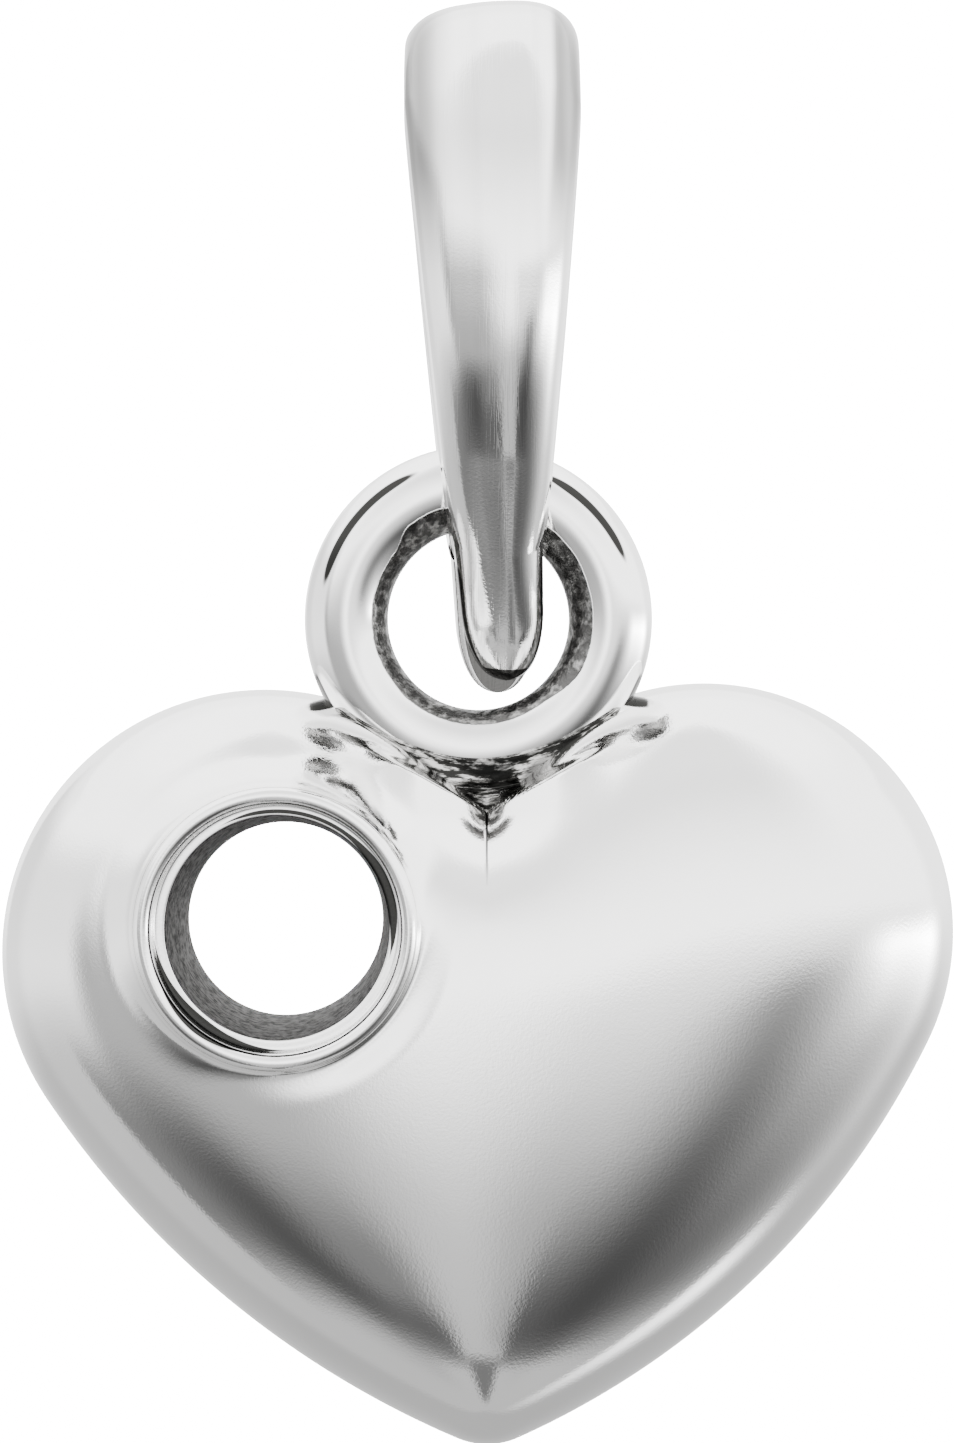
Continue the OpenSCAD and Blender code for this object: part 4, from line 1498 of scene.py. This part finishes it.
@dataclass
class Studio:
    """Soft pale studio: a seamless floor, a sky of soft boxes and the camera."""

    base_stops: float = 1.386
    patches: tuple[LightPatch, ...] = (
        LightPatch("overhead box", 0.1, low=(44, 60)),
        LightPatch("edge of the front card", -0.57, right=(23.5, 58), low=(8.5, 56), high=(76, 96),
                   mirrored=True),
        LightPatch("side box", 8.74, left=(44, 71.5), right=(103, 130), low=(-47.5, 102.5), high=(-4, 5)),
        LightPatch("left side box", -0.6, left=(-147, -145), right=(-58, -47),
                   low=(-12, 6.5), high=(18, 32)),
        LightPatch("room behind", -0.22, left=(103, 122), high=(34, 36), mirrored=True),
        LightPatch("lower half", -1.37, high=(-28, 6.5)),
        LightPatch("floor glow falls off", -0.28, high=(-57, -17.5)),
        LightPatch("low right card", 1.79, left=(91, 99), right=(104, 128),
                   low=(-85.5, -43.5), high=(-51, -37.5)),
        LightPatch("dark apron right", -1.38, left=(7.5, 13.5), right=(38.5, 109.5),
                   low=(-65, -57.5), high=(-48.5, -15.5)),
        LightPatch("corner of the right apron", -1.45, left=(11, 36.5), right=(28, 53.5),
                   low=(-77, -5), high=(-8.5, 1.5)),
        LightPatch("dark apron left", -1.25, left=(-81, -76), right=(-21.5, -7.5),
                   low=(-60, -45), high=(-38, -19)),
        LightPatch("corner of the left apron", -1.13, left=(-75, -36), right=(-45, -25.5),
                   low=(-77.5, -36.5), high=(-45.5, -14)),
        LightPatch("camera stand", -1.32, left=(-14.5, -8), right=(6.5, 12),
                   low=(-86, -76), high=(-62, -56)),
        LightPatch("left of the stand", -1.27, left=(-51.5, -22.5), right=(-15.5, -10.5),
                   low=(-65.5, -57.5), high=(-55, -43)),
        LightPatch("left wall", -1.49, left=(-66, -54), right=(-22.5, -2.5),
                   low=(-40, 3.5), high=(-6.5, 20)),
        LightPatch("right wall", -0.51, left=(-2.5, 8.5), right=(68, 124.5),
                   low=(-59, -50.5), high=(-0.5, 9)),
    )
    floor_z: float = -22.0
    bowl_r: float = 330.0
    wall_h: float = 120.0
    floor_rings: int = 24
    floor_turns: int = 96
    camera_at: tuple[float, float, float] = (-0.152, -51.705, -6.811)
    focal_px: float = 5018.0
    white: float = 13.0
    floor_glow: float = 9.0

    @staticmethod
    def _window(
        n: Nodes, patch: LightPatch, azimuth: bpy.types.NodeSocket, elevation: bpy.types.NodeSocket
    ) -> bpy.types.NodeSocket:
        """Share of a patch in a direction: the product of up to four smooth steps, two for each angle."""
        up, down = (0.0, 1.0), (1.0, 0.0)
        sides = ((azimuth, patch.left, up), (azimuth, patch.right, down),
                 (elevation, patch.low, up), (elevation, patch.high, down))
        steps = [n.ramp(value, *pair, *ends) for value, pair, ends in sides if pair is not None]
        share = steps[0]
        for other in steps[1:]:
            share = n.math("MULTIPLY", share, other)
        return share

    def light_sky(self) -> None:
        """Builds the world.

        Formula: the light in a direction is the exponential of base_stops plus the sum of each patch's stops
        times its share. The camera itself sees plain white.
        """
        world = bpy.data.worlds.new("studio_sky")
        world.use_nodes = True
        bpy.context.scene.world = world
        tree = world.node_tree
        tree.nodes.clear()
        n = Nodes(tree)
        way = n.add("SeparateXYZ", {0: n.add("TexCoord").outputs["Generated"]})
        front = n.math("MULTIPLY", way.outputs["Y"], -1.0)
        degrees = 180 / math.pi
        azimuth = n.math("MULTIPLY", n.math("ARCTAN2", way.outputs["X"], front), degrees)
        elevation = n.math("MULTIPLY", n.math("ARCSINE", way.outputs["Z"]), degrees)
        aside = n.math("ABSOLUTE", azimuth)
        total = None
        for patch in self.patches:
            share = self._window(n, patch, aside if patch.mirrored else azimuth, elevation)
            part = n.math("MULTIPLY", share, patch.stops)
            total = n.math("ADD", part, self.base_stops if total is None else total)
        light = n.math("EXPONENT", total)
        room = n.add("Background", {"Color": (1, 1, 1, 1), "Strength": light})
        plain = n.add("Background", {"Color": (1, 1, 1, 1), "Strength": self.white})
        seen = n.add("LightPath").outputs["Is Camera Ray"]
        mix = n.add("MixShader", {0: seen, 1: room.outputs[0], 2: plain.outputs[0]})
        out = n.add("OutputWorld")
        tree.links.new(mix.outputs[0], out.inputs["Surface"])

    def lay_floor(self) -> bpy.types.Object:
        """Builds the pale seamless floor.

        Formula: a disc that turns up into a wall all round on a quarter arc, a profile turned about Z.

        Returns:
            The floor. It doesn't show in the metal's reflections, where the sky stands for it.
        """
        flat = self.bowl_r / 2
        bend = self.bowl_r - flat
        a = np.linspace(0, math.pi / 2, self.floor_rings + 1)[1:]
        even = np.linspace(0.5, flat, self.floor_rings)
        r = np.concatenate([even, flat + bend * np.sin(a), [self.bowl_r]])
        rise = np.concatenate([np.zeros(self.floor_rings), bend * (1 - np.cos(a)), [bend + self.wall_h]])
        t = 2 * math.pi * np.arange(self.floor_turns) / self.floor_turns
        x, y = r[:, None] * np.cos(t), r[:, None] * np.sin(t)
        z = np.broadcast_to(self.floor_z + rise[:, None], x.shape)
        points = np.concatenate([np.stack([x, y, z], axis=-1).reshape(-1, 3), [[0.0, 0.0, self.floor_z]]])
        quads = grid_quads(len(r), self.floor_turns)
        fan = fan_tris(len(points) - 1, 0, self.floor_turns)
        mesh = bpy.data.meshes.new("studio_floor")
        mesh.from_pydata((points * MM).tolist(), [], quads.tolist() + fan.tolist())
        mesh.polygons.foreach_set("use_smooth", np.ones(len(mesh.polygons), bool))
        mesh.materials.append(self._floor_finish())
        floor = bpy.data.objects.new("studio_floor", mesh)
        bpy.context.scene.collection.objects.link(floor)
        floor.visible_glossy = False
        return floor

    def _floor_finish(self) -> bpy.types.Material:
        """Matte white paint that glows a little, with a faint mottle."""
        made = bpy.data.materials.new("studio_white")
        made.use_nodes = True
        n = Nodes(made.node_tree)
        shader = made.node_tree.nodes["Principled BSDF"]
        where = n.add("TexCoord").outputs["Object"]
        mottle = n.noise(where, 12.0, 2.0)
        colour = n.colour(mottle, (0.90, 0.90, 0.90), (0.93, 0.93, 0.93))
        made.node_tree.links.new(colour, shader.inputs["Base Color"])
        shader.inputs["Roughness"].default_value = 0.9
        shader.inputs["Specular IOR Level"].default_value = 0.1
        shader.inputs["Emission Color"].default_value = (1, 1, 1, 1)
        shader.inputs["Emission Strength"].default_value = self.floor_glow
        return made

    def set_camera(self) -> bpy.types.Object:
        """Places the camera level in front of the pendant, with the photograph's field of view.

        Returns:
            The camera.
        """
        data = bpy.data.cameras.new("camera")
        data.sensor_width = SENSOR
        data.lens = self.focal_px / PHOTO_HEIGHT * SENSOR
        data.clip_start, data.clip_end = 0.005, 5.0
        camera = bpy.data.objects.new("camera", data)
        camera.location = [v * MM for v in self.camera_at]
        camera.rotation_euler = (math.pi / 2, 0, 0)
        bpy.context.scene.collection.objects.link(camera)
        bpy.context.scene.camera = camera
        return camera


def main() -> None:
    """Builds the pendant and its studio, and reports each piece."""
    logging.basicConfig(level=logging.INFO, format="%(name)s: %(message)s")
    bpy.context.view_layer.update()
    studio = Studio()
    studio.set_camera()
    studio.light_sky()
    studio.lay_floor()
    hang = Hang()
    domes = HeartDomes(HeartOutline())
    heart = HeartBody(hang, domes, StoneSeat())
    ring = EyeRing(hang)
    makers = (heart, ring, SolderSeam(ring, domes, heart.place), Bail(hang))
    for maker in makers:
        piece = maker.build()
        LOG.info("%s: %d faces", piece.name, len(piece.data.polygons))


if __name__ == "__main__":
    main()
